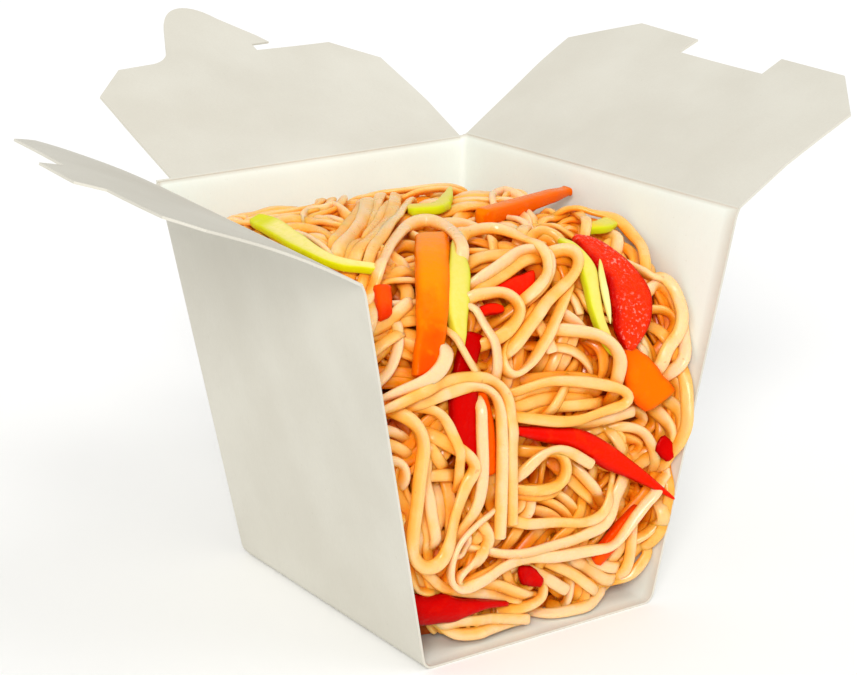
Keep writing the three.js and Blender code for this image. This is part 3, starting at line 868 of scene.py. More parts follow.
@dataclass
class Flap:
    """A flap of the rim, drawn flat: x along its fold, y away from it.

    Lean is in degrees from upright, and curl in degrees gained over curl_length.
    """

    name: str
    body: str
    side: Side
    outline: Callable[[], list[Pair]]
    lean: float
    curl: float
    least_curl: float = 0.01
    curl_length: float = 100.0
    ripple: float = 0.25
    slack_length: float = 30.0
    waves: Triple = (17.0, 9.0, 31.0)
    second_wave: float = 0.6
    cell: float = 3.0
    card: float = BOX.card
    sharp: float = 35.0

    def sheet(self) -> tuple[Array, list[tuple[int, ...]], list[Pair]]:
        """The flat outline cut into small cells.

        Returns:
            Its points, its faces, and the pairs of points along its border.
        """
        flat = bmesh.new()
        corners = [flat.verts.new((x, y, 0)) for x, y in self.outline()]
        flat.faces.new(corners)
        points = np.array(self.outline())
        for axis, normal in ((0, (1, 0, 0)), (1, (0, 1, 0))):
            column = points[:, axis]
            for place in np.arange(column.min() + self.cell, column.max(), self.cell):
                centre = (place, 0, 0) if axis == 0 else (0, place, 0)
                everything = flat.verts[:] + flat.edges[:] + flat.faces[:]
                bmesh.ops.bisect_plane(flat, geom=everything, dist=1e-5, plane_co=centre,
                                       plane_no=normal)
        flat.verts.index_update()
        places = np.array([vertex.co[:2] for vertex in flat.verts])
        faces = [tuple(vertex.index for vertex in face.verts) for face in flat.faces]
        border = [tuple(vertex.index for vertex in edge.verts) for edge in flat.edges
                  if edge.is_boundary]
        flat.free()
        return places, faces, border

    def bend(self, places: Array, offset: float) -> Array:
        """Stands the flat points up on the fold, leaning and curled.

        Args:
            places: points on the flat sheet.
            offset: how far they lie off its middle, towards the outside of the box when shut.

        Returns:
            The points in the box's frame.
        """
        fold = Fold.of(self.side)
        along, away = places[:, 0], places[:, 1]
        start = math.radians(self.lean)
        bend = math.radians(max(self.curl, self.least_curl)) / self.curl_length
        angle = start + bend * away
        slack = np.clip(away / self.slack_length, 0, 1) ** 2
        long_wave, short_wave, slant_wave = self.waves
        wave = (np.sin(along / long_wave + self.lean)
                + self.second_wave * np.sin(away / short_wave + along / slant_wave))
        lift = offset + self.ripple * slack * wave
        outward = (math.cos(start) - np.cos(angle)) / bend + lift * np.cos(angle)
        upward = (np.sin(angle) - math.sin(start)) / bend - lift * np.sin(angle)
        points = fold.start + np.outer(along, fold.along) + np.outer(outward, fold.out)
        points[:, 2] += upward
        return points

    def build(self, material: Material) -> bpy.types.Object:
        """Makes the piece.

        Args:
            material: its finish.

        Returns:
            The flap, open as it rests.
        """
        places, faces, border = self.sheet()
        sketch = MeshSketch()
        top = sketch.add_points(self.bend(places, -self.card / 2))
        under = sketch.add_points(self.bend(places, self.card / 2))
        sketch.faces += [tuple(top + index for index in face) for face in faces]
        sketch.faces += [tuple(under + index for index in reversed(face)) for face in faces]
        sketch.faces += [(top + a, top + b, under + b, under + a) for a, b in border]
        return sketch.piece(f"{self.name}_card", material, self.sharp)


def bezier(*controls: Pair, steps: int = 10) -> list[Pair]:
    """Points along a Bezier curve, without its first.

    Args:
        controls: the curve's control points.
        steps: how many points are wanted.

    Returns:
        The points.
    """
    given = np.array(controls, dtype=float)
    made = []
    for share in np.linspace(0, 1, steps + 1)[1:]:
        points = given
        while len(points) > 1:
            points = points[:-1] * (1 - share) + points[1:] * share
        made.append((float(points[0][0]), float(points[0][1])))
    return made


def back_flap_outline() -> list[Pair]:
    """Wide shoulders, and a barbed tongue in the middle that tucks into a slot."""
    return [(4.8, 0), (2.8, 38.5), (13.6, 49.5), (25, 50.5),
            *bezier((25, 50.5), (29.5, 51.5), (31.5, 56)), (36.7, 67.6),
            *bezier((36.7, 67.6), (41.5, 78.5), (49.5, 79.5), (54.7, 69.5), steps=14),
            (62.4, 59.3), (64.5, 55.6), (58.7, 55.4), (58.7, 52.2), (82.5, 52), (94, 41.3),
            (95.6, 17.7), (95.4, 0)]


def right_flap_outline() -> list[Pair]:
    """The long flap, with a shallow notch in its far edge."""
    return [(0.9, 0), (-1, 16), (-3.2, 34), (-4, 46.3), (14, 59.3), (38.1, 57.6), (37.2, 50.8),
            (70.5, 48.9), (71, 56.3), (95, 54.3), (108.6, 40.6), (106.6, 18), (106.6, 0)]


def left_flap_outline() -> list[Pair]:
    """The shorter flap, with a tab that stands out from its far edge."""
    return [(1.4, 0), (6.3, 38), (15.5, 47.5), (46.5, 47.8),
            *bezier((46.5, 47.8), (48, 51), (49.5, 55)), (69, 54.8),
            *bezier((69, 54.8), (70.5, 51), (71.5, 47.8)), (98, 47), (105.2, 40), (106.6, 0)]


# ---- the heap


@dataclass(frozen=True)
class HeapSurface:
    """The heap's outline, unrolled: a mm across (-45 to 45) and q mm up from the front foot.

    Its middle line is a squared arch over the crest, that reaches further to the front than to the
    rear. It swells towards the right flank and drops towards the corners.
    """

    form: BoxForm = BOX
    crest: float = 12.0
    top: float = 95.9
    front_reach: float = 53.0
    front_swell: float = 3.0
    flank_swell: float = 4.2
    rear_reach: float = 46.0
    front_power: float = 3.6
    rear_power: float = 4.6
    right_drop: float = 7.0
    left_drop: float = 4.0
    rear_drop: float = 7.0
    toe: float = 9.0
    toe_height: float = 26.0
    half_span: float = 45.0
    wall_gap: float = 0.9
    samples: int = 2000
    probe: Pair = (1.0, 1.5)

    def outline(self, across: Array, angle: Array, inset: float = 0.0) -> Array:
        """Points of the outline.

        Args:
            across: how far across they are, from -1 to 1.
            angle: their angles, from 0 at the front foot over the top to half a turn at the rear.
            inset: how far inside the outline they lie.

        Returns:
            The points in the box.
        """
        cos, sin = np.cos(angle), np.abs(np.sin(angle))
        front = cos > 0
        right, left = np.clip(across, 0, 1), np.clip(-across, 0, 1)
        swell = self.front_swell * right + self.flank_swell * right ** 6
        reach = np.where(front, self.front_reach + swell, self.rear_reach) - inset
        power = np.where(front, 2 / self.front_power, 2 / self.rear_power)
        drop = self.right_drop * right ** 5 + self.left_drop * left ** 6
        drop = drop + np.where(front, 0.0, self.rear_drop * left ** 5 * np.sqrt(np.abs(cos)))
        z = (self.top - drop - inset) * sin ** power
        low = np.clip(1 - z / self.toe_height, 0, 1) ** 2
        foot = np.where(front, self.toe * np.abs(across) ** 6 * low, 0)
        y = self.crest - np.sign(cos) * reach * np.abs(cos) ** power + foot
        return np.stack([across * (self.form.half_width(y, z) - self.wall_gap), y, z], axis=-1)

    def angle_at(self, q: Array) -> Array:
        """The angle at which the middle line is a length q up from the front foot."""
        angles = np.linspace(0, math.pi, self.samples)
        middle = self.outline(np.zeros(self.samples), angles)
        lengths = np.concatenate([[0], np.cumsum(np.linalg.norm(np.diff(middle, axis=0), axis=1))])
        return np.interp(q, lengths, angles)

    def place(self, a: Array, q: Array,
              lift: Array) -> tuple[Array, Array]:
        """Points lifted off the heap.

        Args:
            a: millimetres across.
            q: millimetres up from the foot.
            lift: millimetres off the surface.

        Returns:
            The points and the surface's normals there.
        """
        def at(da: float, dq: float) -> Array:
            """The surface a step aside."""
            return self.outline((a + da) / self.half_span, self.angle_at(np.maximum(q + dq, 0.0)))
        da, dq = self.probe
        normal = unit(np.cross(at(da, 0) - at(-da, 0), at(0, dq) - at(0, -dq)))
        return at(0, 0) + normal * np.asarray(lift)[..., None], normal


HEAP = HeapSurface()


class Layer(Enum):
    """How deep a noodle lies: the height its middle settles to, in millimetres off the outline."""

    DEEP = -8.6
    LOWER = -6.0
    UNDER = -3.1
    OVER = -0.7


class Ends(Enum):
    """Which ends are cut off in plain sight: the start of the line, the end of it."""

    HIDDEN = (False, False)
    START = (True, False)
    END = (False, True)
    BOTH = (True, True)


@dataclass
class Noodle:
    """One noodle on the unrolled heap. An end that isn't in plain sight dives into the heap."""

    line: Sequence[Pair]
    ends: Ends = Ends.HIDDEN
    layer: Layer = Layer.UNDER
    girth: float = 1.0


Edges = tuple[Array, Array]
EDGE_STEP = 0.4
STRIP_STEP = 0.7


def edges(one: Sequence[Pair], other: Sequence[Pair]) -> Edges:
    """Both edges of a strip, drawn freely, as matching points.

    Args:
        one: points along one edge.
        other: points along the other.

    Returns:
        The edges.
    """
    first, second = smooth_line(one, EDGE_STEP), smooth_line(other, EDGE_STEP)
    stops = np.linspace(0, 1, int(max(len(first), len(second)) * EDGE_STEP / STRIP_STEP) + 2)
    return tuple(np.stack([np.interp(stops, np.linspace(0, 1, len(side)), column)
                           for column in side.T], axis=1) for side in (first, second))


def band(line: Sequence[Pair], width: float, blunt: Ends = Ends.BOTH) -> Edges:
    """Both edges of a strip that is widest in the middle.

    Args:
        line: its middle.
        width: its greatest width.
        blunt: the ends that are cut off; the others run out to a point.

    Returns:
        The edges.
    """
    blunt_end, narrow, reach = 0.72, 0.22, 0.3
    path = smooth_line(line, STRIP_STEP)
    share = np.linspace(0, 1, len(path))
    at_start, at_end = (blunt_end if cut else narrow for cut in blunt.value)
    from_start = at_start + (1 - at_start) * np.sqrt(np.clip(share / reach, 0, 1))
    from_end = at_end + (1 - at_end) * np.sqrt(np.clip((1 - share) / reach, 0, 1))
    along = unit(np.gradient(path, axis=0))
    side = np.stack([along[:, 1], -along[:, 0]], axis=1)
    half = (width / 2 * np.minimum(from_start, from_end))[:, None]
    return path - side * half, path + side * half


@dataclass
class Strip:
    """One strip of vegetable on the unrolled heap; it stands for the solid of the same name.

    Its middle lies lift off the heap at the start and end_lift more at the end, and is kept under
    top. Ridge and cup bend the section, slim thins it towards the end, stiff straightens the strip,
    and flesh is the share of cut flesh that shows. A loose strip stands for no solid.
    """

    name: str
    dressing: Dressing
    outline: Edges
    thick: float
    lift: float
    end_lift: float = 0.0
    ridge: float = 0.0
    cup: float = 0.0
    flesh: float = 0.0
    slim: float = 0.0
    stiff: float = 0.0
    loose: bool = False
    top: float = 96.9
    sides: int = 28
    squareness: float = 0.6
    end_round: float = 0.9
    waver: Pair = (0.03, 0.02)
    sharp: float = 55.0

    def footprint(self, spacing: float) -> tuple[Array, Array]:
        """Points spread over the strip.

        Args:
            spacing: how far apart they lie across it.

        Returns:
            The points as rows of a and q, and their heights.
        """
        one, other = self.outline
        width = np.linalg.norm(other - one, axis=1)
        trim = np.clip(self.thick * 0.35 / np.maximum(width, 0.1), 0, 0.5)[:, None]
        steps = np.linspace(0, 1, max(int(width.max() / spacing), 3))
        places = [one + (other - one) * (trim + (1 - 2 * trim) * step) for step in steps]
        return np.concatenate(places), np.tile(self.heights(len(one)), len(steps))

    def heights(self, count: int) -> Array:
        """The height of its middle off the heap, from its start to its end."""
        return self.lift + self.end_lift * np.linspace(0, 1, count) ** 2

    def rounding(self, count: int) -> Array:
        """How full the section is at each ring, as both ends are rounded off."""
        from_end = np.minimum(np.arange(count), np.arange(count)[::-1]) * STRIP_STEP
        return np.sqrt(np.clip(1 - (1 - np.clip(from_end / self.end_round, 0, 1)) ** 2, 0.35, 1))

    def marks(self, share: Array, flat: Array, rise: Array) -> dict[str, Array]:
        """The numbers that its finish reads.

        Args:
            share: how far along each ring is.
            flat: how far across each point of a ring is, from -1 to 1.
            rise: how far up each point of a ring is, from -1 to 1.

        Returns:
            A number for each vertex, by name.
        """
        numbers = {
            # edge and across also set where the finish paints shade
            "edge": np.clip(np.abs(flat) * 4.0 - 2.8, 0, 1),
            "flesh": np.clip(self.flesh - 0.6 * (rise < -0.2), 0, 1),
            "along": share[:, None],
            "across": flat,
        }
        shape = (len(share), len(flat))
        return {name: np.broadcast_to(values, shape).reshape(-1)
                for name, values in numbers.items()}

    def build(self, material: Material, surface: HeapSurface) -> bpy.types.Object:
        """Makes the piece: a sweep of a rounded section between the two edges.

        Args:
            material: its finish.
            surface: the heap that it lies on.

        Returns:
            The strip.
        """
        one, other = self.outline
        count = len(one)
        share = np.linspace(0, 1, count)
        left, normal = surface.place(*one.T, self.heights(count))
        right = surface.place(*other.T, self.heights(count))[0]
        centre = (left + right) / 2
        slimming = 1 - self.slim * share
        centre[:, 2] = np.minimum(centre[:, 2], self.top - self.thick / 2 * slimming)
        centre += self.stiff * (centre[0] + (centre[-1] - centre[0]) * share[:, None] - centre)
        across = unit(right - left)
        along = unit(np.gradient(centre, axis=0))
        up = unit(np.cross(across, along))
        up *= np.sign(np.sum(up * normal, axis=1, keepdims=True))
        turn = ring_angles(self.sides)
        flat, rise = squared(np.cos(turn), self.squareness), squared(np.sin(turn), self.squareness)
        slow, quick = self.waver
        waver = 1 + slow * np.sin(share * 11 + self.thick) + quick * np.sin(share * 27 + self.lift)
        full = self.rounding(count)
        half = np.linalg.norm(right - left, axis=1) / 2 * full * waver
        tall = self.thick / 2 * full * np.clip(half / (self.thick * 0.45), 0.3, 1)
        tall *= slimming
        bowl = self.cup * (flat[None] ** 2 - 0.4) + self.ridge * (0.5 - np.abs(flat[None]))
        high = tall[:, None] * rise[None] + bowl * (half / half.max())[:, None]
        rows = (centre[:, None] + across[:, None] * (half[:, None] * flat)[..., None]
                + up[:, None] * high[..., None])
        sketch = MeshSketch()
        sketch.add_tube(rows, **self.marks(share, flat, rise))
        return sketch.piece(f"{self.name}_food", material, self.sharp)


STRIPS = [
    Strip("orange_pepper_strip", Dressing.ORANGE, edges(
        [(-31, 71.4), (-28, 78.4), (-26, 82), (-22.6, 90), (-16.3, 103.3), (-8.8, 116)],
        [(-26.6, 71.2), (-22.3, 75), (-19.4, 79.7), (-17.8, 83.4), (-9.6, 98.8), (-1.5, 113)]),
        thick=3.4, lift=-0.9, end_lift=-1.7),
    Strip("yellow_pepper_strip", Dressing.YELLOW, edges(
        [(-16.6, 73.9), (-17.4, 81.4), (-16, 87.5), (-11.4, 96.4), (-7, 103.5), (-2, 110.5)],
        [(-16.0, 74.1), (-14.9, 77.5), (-10.7, 86.5), (-6.9, 94.2), (-4.7, 101), (-1.5, 110.3)]),
        thick=3.2, lift=-1.4, flesh=0.7),
    Strip("yellow_top_strip", Dressing.YELLOW, edges(
        [(0.4, 135.4), (6.2, 133.2), (12.4, 138), (19.6, 145.6)],
        [(-1.5, 130.9), (5.3, 127.8), (12.2, 133.4), (20, 145.2)]),
        thick=2.6, lift=-0.7, end_lift=1.4, flesh=0.5),
    Strip("yellow_side_piece", Dressing.YELLOW, band([(28.5, 103.5), (34.5, 105), (41, 110)], 3.8),
          thick=2.4, lift=-0.9, end_lift=0.8),
    Strip("leek_strip", Dressing.LEEK, edges(
        [(-26.6, 99.6), (-27.4, 102), (-31.2, 105.4), (-34, 111.8), (-33.4, 125.7), (-32.4, 138),
         (-33.6, 145.5)],
        [(-27.6, 99.2), (-30.7, 101.3), (-34.8, 104.4), (-37.2, 110.4), (-38.4, 123), (-38, 138),
         (-37, 144)]),
        thick=2.4, lift=-0.5, end_lift=2.2, cup=0.5, flesh=1.0),
    Strip("carrot_stick", Dressing.CARROT, edges(
        [(10.5, 122.3), (23, 126.2), (42, 131)],
        [(12, 117.4), (25, 121.6), (42.3, 127.4)]),
        thick=4.8, lift=-1.7, end_lift=5.9, slim=0.45, stiff=1.0),
    Strip("red_pepper_curl", Dressing.GLOSSY_RED, edges(
        [(23.5, 100.7), (28.9, 98.3), (32.5, 92.3), (35, 87.3), (36.2, 82.1), (35.7, 77.3),
         (33.1, 72), (29, 67.3)],
        [(23, 98), (23.5, 93), (24.6, 89), (25.8, 86), (25.2, 81), (24.8, 76.6), (25, 72.5),
         (27, 68)]),
        thick=3.0, lift=-1.0, cup=0.4, flesh=0.55),
    Strip("green_pepper_strip", Dressing.GREEN, edges(
        [(20.4, 100.9), (22.9, 95.7), (24, 89.4), (22.7, 82.9), (22.4, 76.6), (23.7, 70.9),
         (25.4, 66.5)],
        [(19.3, 100), (20.2, 92.8), (19.6, 86.3), (19.2, 79.1), (20.2, 73), (22, 69), (24, 66.3)]),
        thick=3.0, lift=-1.2, flesh=0.75),
    Strip("red_pepper_back", Dressing.RED, edges(
        [(-4, 88.6), (1.4, 91), (5.8, 92), (10, 92.8)],
        [(-4, 87.8), (0.2, 86.3), (3.4, 84.9), (7.6, 87.2)]),
        thick=2.6, lift=-2.8),
    Strip("red_pepper_middle", Dressing.DEEP_RED, edges(
        [(-13.5, 80), (-19, 70.5), (-21.8, 63), (-22.8, 54), (-20.5, 47.5), (-18.8, 44)],
        [(-8.6, 77.5), (-13, 70), (-14.2, 62), (-14.5, 54), (-14.4, 47.5), (-15.2, 43.4)]),
        thick=3.0, lift=-3.0, end_lift=0.4),
    Strip("orange_pepper_sliver", Dressing.EMBER, band([(-13, 64.5), (-12.4, 54), (-13, 43)], 3.8),
          thick=2.6, lift=-3.2, flesh=0.6),
    Strip("red_pepper_pointed", Dressing.RED, edges(
        [(-5.5, 54.3), (5, 52), (15, 49.5), (25, 43.5), (35, 36.5), (43.2, 30.6)],
        [(-5.5, 52), (4, 48), (13, 44.7), (22, 38.6), (33, 33.8), (43, 30)]),
        thick=2.8, lift=-1.3, end_lift=0.5, ridge=1.3),
    Strip("red_pepper_low", Dressing.DEEP_RED, edges(
        [(-43, 18.3), (-38, 16.3), (-32, 15.8), (-27, 13.8), (-20, 12.2), (-9, 9.4)],
        [(-43, 7.7), (-36, 8), (-30, 8), (-25, 8.6), (-18, 9.2), (-9, 8.2)]),
        thick=3.0, lift=-2.4, ridge=1.2, cup=0.3),
    Strip("orange_pepper_side", Dressing.AMBER, edges(
        [(28.5, 69.5), (33, 66.5), (37.5, 62), (41, 58.2)],
        [(27, 68.5), (27.2, 62), (28.6, 56), (33.6, 51.6)]),
        thick=3.0, lift=-1.9, cup=0.4),
    Strip("orange_pepper_tip", Dressing.EMBER, edges(
        [(-33.2, 87), (-31.6, 92), (-29.8, 97.6)],
        [(-29.6, 87.4), (-28, 91), (-25.8, 96)]),
        thick=2.4, lift=-2.6),
    Strip("red_pepper_corner", Dressing.EMBER, band([(35, 27), (28, 20), (21.5, 14.5)], 5.2),
          thick=2.8, lift=-2.0),
    Strip("pale_sliver", Dressing.PALE, edges(
        [(25.4, 91), (24.7, 87), (24.2, 82.5), (23.7, 78), (23.1, 74.6)],
        [(25.1, 91), (23.3, 87), (22.5, 82.5), (22.5, 78), (22.9, 74.6)]),
        thick=1.1, lift=0.6, loose=True),
    Strip("red_flake_upper", Dressing.RED, band([(-8.3, 83.6), (-5, 84), (-1.3, 83.1)], 3.2,
          Ends.START), thick=2.2, lift=-3.2, loose=True),
    Strip("red_flake_lower", Dressing.DEEP_RED, edges(
        [(-4.6, 17.6), (0, 16.6), (4.6, 12.4)],
        [(-3.8, 12.6), (-0.6, 11.4), (3.4, 10.4)]),
        thick=1.6, lift=-3.2, loose=True),
    Strip("red_flake_right", Dressing.DEEP_RED, edges(
        [(38.6, 46.6), (41, 45), (42.2, 41.6)],
        [(36.8, 42.2), (38.4, 40.6), (40.4, 39.2)]),
        thick=1.6, lift=-2.1, loose=True),
]

LOW_NOODLES = [
    # left side
    Noodle([(-30.5, 58), (-31, 52), (-31.7, 45), (-32.5, 38), (-32.6, 29)]),
    Noodle([(-30, 54.5), (-28, 50), (-25, 47)]),
    Noodle([(-30, 46.2), (-26.8, 46.2), (-23.5, 45)]),
    Noodle([(-41.5, 62), (-38, 60), (-34.5, 57)]),
    Noodle([(-41.5, 58.5), (-38, 56), (-35, 53)]),
    Noodle([(-42, 54), (-39, 53), (-37.4, 50.5), (-38.5, 46.5)]),
    # upper left
    Noodle([(-39.8, 72), (-36, 73.5), (-33.3, 75.8), (-30.6, 80), (-28.2, 86.3)], Ends.END),
    Noodle([(-38, 79.6), (-34.5, 81.3), (-29, 82.8)]),
    Noodle([(-37, 85.8), (-30.6, 86.6), (-27, 88.6), (-23, 90.3)]),
    Noodle([(-27.5, 99.5), (-31, 95), (-33.5, 90), (-35.6, 86.5)]),
    Noodle([(-26, 68.5), (-21, 71), (-17, 74.5), (-13, 77.5), (-10.3, 79.5)]),
    Noodle([(-27.4, 99.8), (-24, 101.2), (-20.2, 102.2), (-16.9, 102.5)]),
    Noodle([(-27, 99), (-24.1, 98.6), (-20.7, 98), (-18.9, 97.4)]),
    Noodle([(-15.9, 117.7), (-19.1, 111.7), (-25.2, 105.5), (-27.5, 102.5)]),
    # middle and right
    Noodle([(14.5, 129.4), (19.8, 131.3), (20.4, 127.2), (20.5, 122)]),
    Noodle([(9.9, 127.7), (14.9, 130.8), (19.2, 133)]),
    Noodle([(5, 126), (8, 122), (8.8, 117), (8, 113)]),
    Noodle([(2, 118), (4.4, 116), (8, 115), (12.3, 116.9)]),
    Noodle([(13.2, 118), (15.4, 114), (14.2, 108.9), (13.4, 103)]),
    Noodle([(7.8, 110), (5, 104.5), (3.8, 100.8)]),
    Noodle([(-4.2, 99.8), (0.7, 100.2), (4.9, 98.8), (8.7, 98.2), (10.7, 96.5), (12.2, 94)]),
    Noodle([(16.2, 107.5), (18.9, 106), (21.8, 104.1), (21.6, 101)]),
    # against the right wall
    Noodle([(33.4, 124.4), (33.7, 121.1), (34.3, 117.6), (34.9, 113), (31.8, 107)]),
    Noodle([(34.8, 101.2), (38, 103.5), (40.8, 102), (39.8, 97), (37.6, 92.2)]),
    Noodle([(35.9, 79.1), (40.4, 80.3), (42.8, 78.5), (41.1, 73.7), (38.5, 68.9), (36.9, 66)]),
    Noodle([(33.4, 72.7), (35.1, 69.5), (36.9, 66), (39.7, 63.2), (43.5, 62)]),
    Noodle([(34.7, 64.9), (40.4, 62), (43.2, 58.8), (43.7, 51.9), (43.3, 46.5), (41.6, 40.2),
        (38.8, 37.4)]),
    Noodle([(40.7, 55), (43.5, 52.3), (42.6, 44.4), (38.2, 41.4)]),
    Noodle([(38, 52), (41, 48), (40.6, 43.5), (36.5, 39)]),
    Noodle([(39.3, 35.1), (36, 29.5), (32.6, 25.1), (30.2, 20.6), (28.9, 16)]),
    Noodle([(42.5, 31), (41.5, 24.6), (39.4, 19.6), (33.9, 17)]),
    Noodle([(43.5, 36), (42.6, 29), (42.6, 22), (40, 15)]),
    Noodle([(43, 14), (38.1, 6.9), (27.3, 6.6), (17.6, 9.9)]),
    Noodle([(31, 22.1), (31.2, 15.7), (28.7, 11.2)]),
    Noodle([(0, 64.6), (10, 63.6), (18, 61.6), (24, 59.5)]),
    Noodle([(-5, 60.6), (3, 61.2), (10, 60.2), (17, 58.6), (23, 57)]),
    Noodle([(-5, 58), (4, 58.8), (12, 57.6), (20, 55.8)]),
    Noodle([(1, 55.6), (8, 56.2), (16, 55.8), (22, 55)]),
    Noodle([(5, 53.5), (8, 58), (12, 62)]),
    Noodle([(12, 50.8), (18, 50.5), (25, 51), (30.6, 52)], Ends.END),
    Noodle([(-6, 36.5), (-2, 35.8), (3, 34.8), (8, 35.5), (12, 38), (17, 40)]),
    Noodle([(20, 72), (22.3, 69), (22.7, 65), (22.5, 61)]),
    Noodle([(8, 71.7), (13, 70), (17, 67), (19.7, 63.3)]),
    Noodle([(12.2, 80.4), (15, 77.3), (18.5, 73)]),
    Noodle([(16, 88), (17, 83), (17.3, 78.5)], Ends.END),
    Noodle([(11.8, 104.2), (14.2, 107.3), (17.6, 110.8)], Ends.END),
    Noodle([(13.4, 102.7), (16.5, 105.8), (19.5, 107), (21.8, 105), (22.6, 101.5)]),
    Noodle([(25, 48), (30, 48), (34.2, 46.5), (36.5, 43.5), (38, 40), (38.4, 36.5)]),
    Noodle([(25.7, 46.5), (28, 42.3)]),
    Noodle([(33.8, 71.5), (35.7, 66), (36.8, 61)]),
    Noodle([(12.6, 37), (16, 33.5), (20, 30.4)]),
    Noodle([(15.3, 38.5), (21, 32.3)]),
    # foot of the heap
    Noodle([(-42, 26.5), (-41.4, 22), (-40.2, 18.5), (-37.5, 16.8), (-33.7, 16.5)]),
    Noodle([(-38, 25), (-35, 21), (-31, 17), (-25, 15), (-17, 12.8), (-9, 10), (-2, 7.8)]),
    Noodle([(-21, 16.8), (-14, 14.8), (-8, 12.2), (-1, 9)]),
    Noodle([(-34.5, 7), (-30.6, 4.3), (-25, 3.2), (-15, 3.3), (-7, 3), (-1, 2.7)], Ends.END),
    Noodle([(-11.8, 6.5), (-4, 6.2), (2, 6.5), (5.5, 8.5), (5, 12)], Ends.START),
    Noodle([(-1, 16), (3, 13.8), (7, 11.5), (11, 9), (13, 8)], Ends.END),
    Noodle([(-33.6, 5.9), (-26.2, 7), (-15.1, 5.9), (-1.7, 3.1)], Ends.END),
    Noodle([(9.3, 2), (16.2, 2), (24.4, 3.1), (29, 5)]),
    Noodle([(9.5, 14.6), (15, 12), (19.5, 8.8), (25, 5.4)]),
    Noodle([(15.3, 15.4), (21, 12.3), (27, 8.5), (32.6, 7)]),
    Noodle([(21, 14.6), (27, 12), (32.6, 10.4)]),
    Noodle([(34.5, 23.5), (34, 18), (35, 12.3), (33.8, 8)]),
    Noodle([(40.3, 28), (42.2, 22.7)]),
    Noodle([(33.2, 69), (35.3, 62.8), (37.5, 56.8)]),
    Noodle([(35.3, 111.5), (39.5, 110.2), (41.2, 105.8), (42.5, 103.8)]),
    Noodle([(31, 116), (35.5, 114), (38.8, 111.8), (40.2, 108), (40.8, 104)]),
    Noodle([(33, 109), (36.5, 108), (38.5, 104.5), (37, 100)]),
    Noodle([(24.3, 117.8), (25.5, 111.5), (26.5, 105), (27.8, 100.5)]),
]

FLANK_NOODLES = [
    Noodle([(43, 112), (41, 104), (43, 96), (40, 88), (43, 80), (41, 72), (43.5, 64), (41.5, 56),
        (43, 46), (42, 38)]),
    Noodle([(38, 116), (42, 108), (40, 99), (43, 90), (41, 81), (43.5, 73), (42, 62), (43.5, 52),
        (42, 42), (43, 30), (41, 20)], layer=Layer.LOWER),
    Noodle([(35, 112), (38, 104), (36, 96), (39, 86), (37, 78), (40, 68), (38, 58), (40, 48),
        (38, 36)], layer=Layer.LOWER),
    Noodle([(42, 118), (43, 104), (41.5, 90), (43, 78), (42, 66), (43, 54), (42, 40), (43, 26),
        (41, 14)], layer=Layer.DEEP),
    Noodle([(36, 110), (40, 98), (38, 84), (40, 70), (38, 56), (40, 42), (37, 28)],
        layer=Layer.DEEP),
    Noodle([(30, 112), (35, 108), (38, 100), (36, 93)]),
    Noodle([(43, 36), (40, 30), (42, 22), (38, 14), (32, 9)]),
    Noodle([(26, 128), (32, 124), (38, 118), (42, 112), (43, 104)]),
    Noodle([(20, 130), (28, 126), (35, 120), (41, 114)], layer=Layer.LOWER),
    Noodle([(-42, 146), (-43.5, 134), (-41.5, 122), (-43.5, 110), (-42, 98), (-43.5, 86), (-42, 74),
        (-43, 62)], layer=Layer.DEEP),
    Noodle([(-43.5, 140), (-42, 127), (-43.5, 115), (-41.5, 103), (-43.5, 92), (-42, 80),
        (-43.5, 68), (-42, 54)], layer=Layer.LOWER),
    Noodle([(-40, 138), (-41.5, 124), (-40, 112), (-42, 100), (-40.5, 88), (-42, 76), (-40, 64)],
        layer=Layer.LOWER),
    Noodle([(-43.5, 124), (-42, 114), (-43.5, 104), (-42, 94), (-43.5, 82), (-42.5, 72)]),
    Noodle([(-41, 92), (-43, 84), (-41.5, 76), (-43.5, 66)]),
]

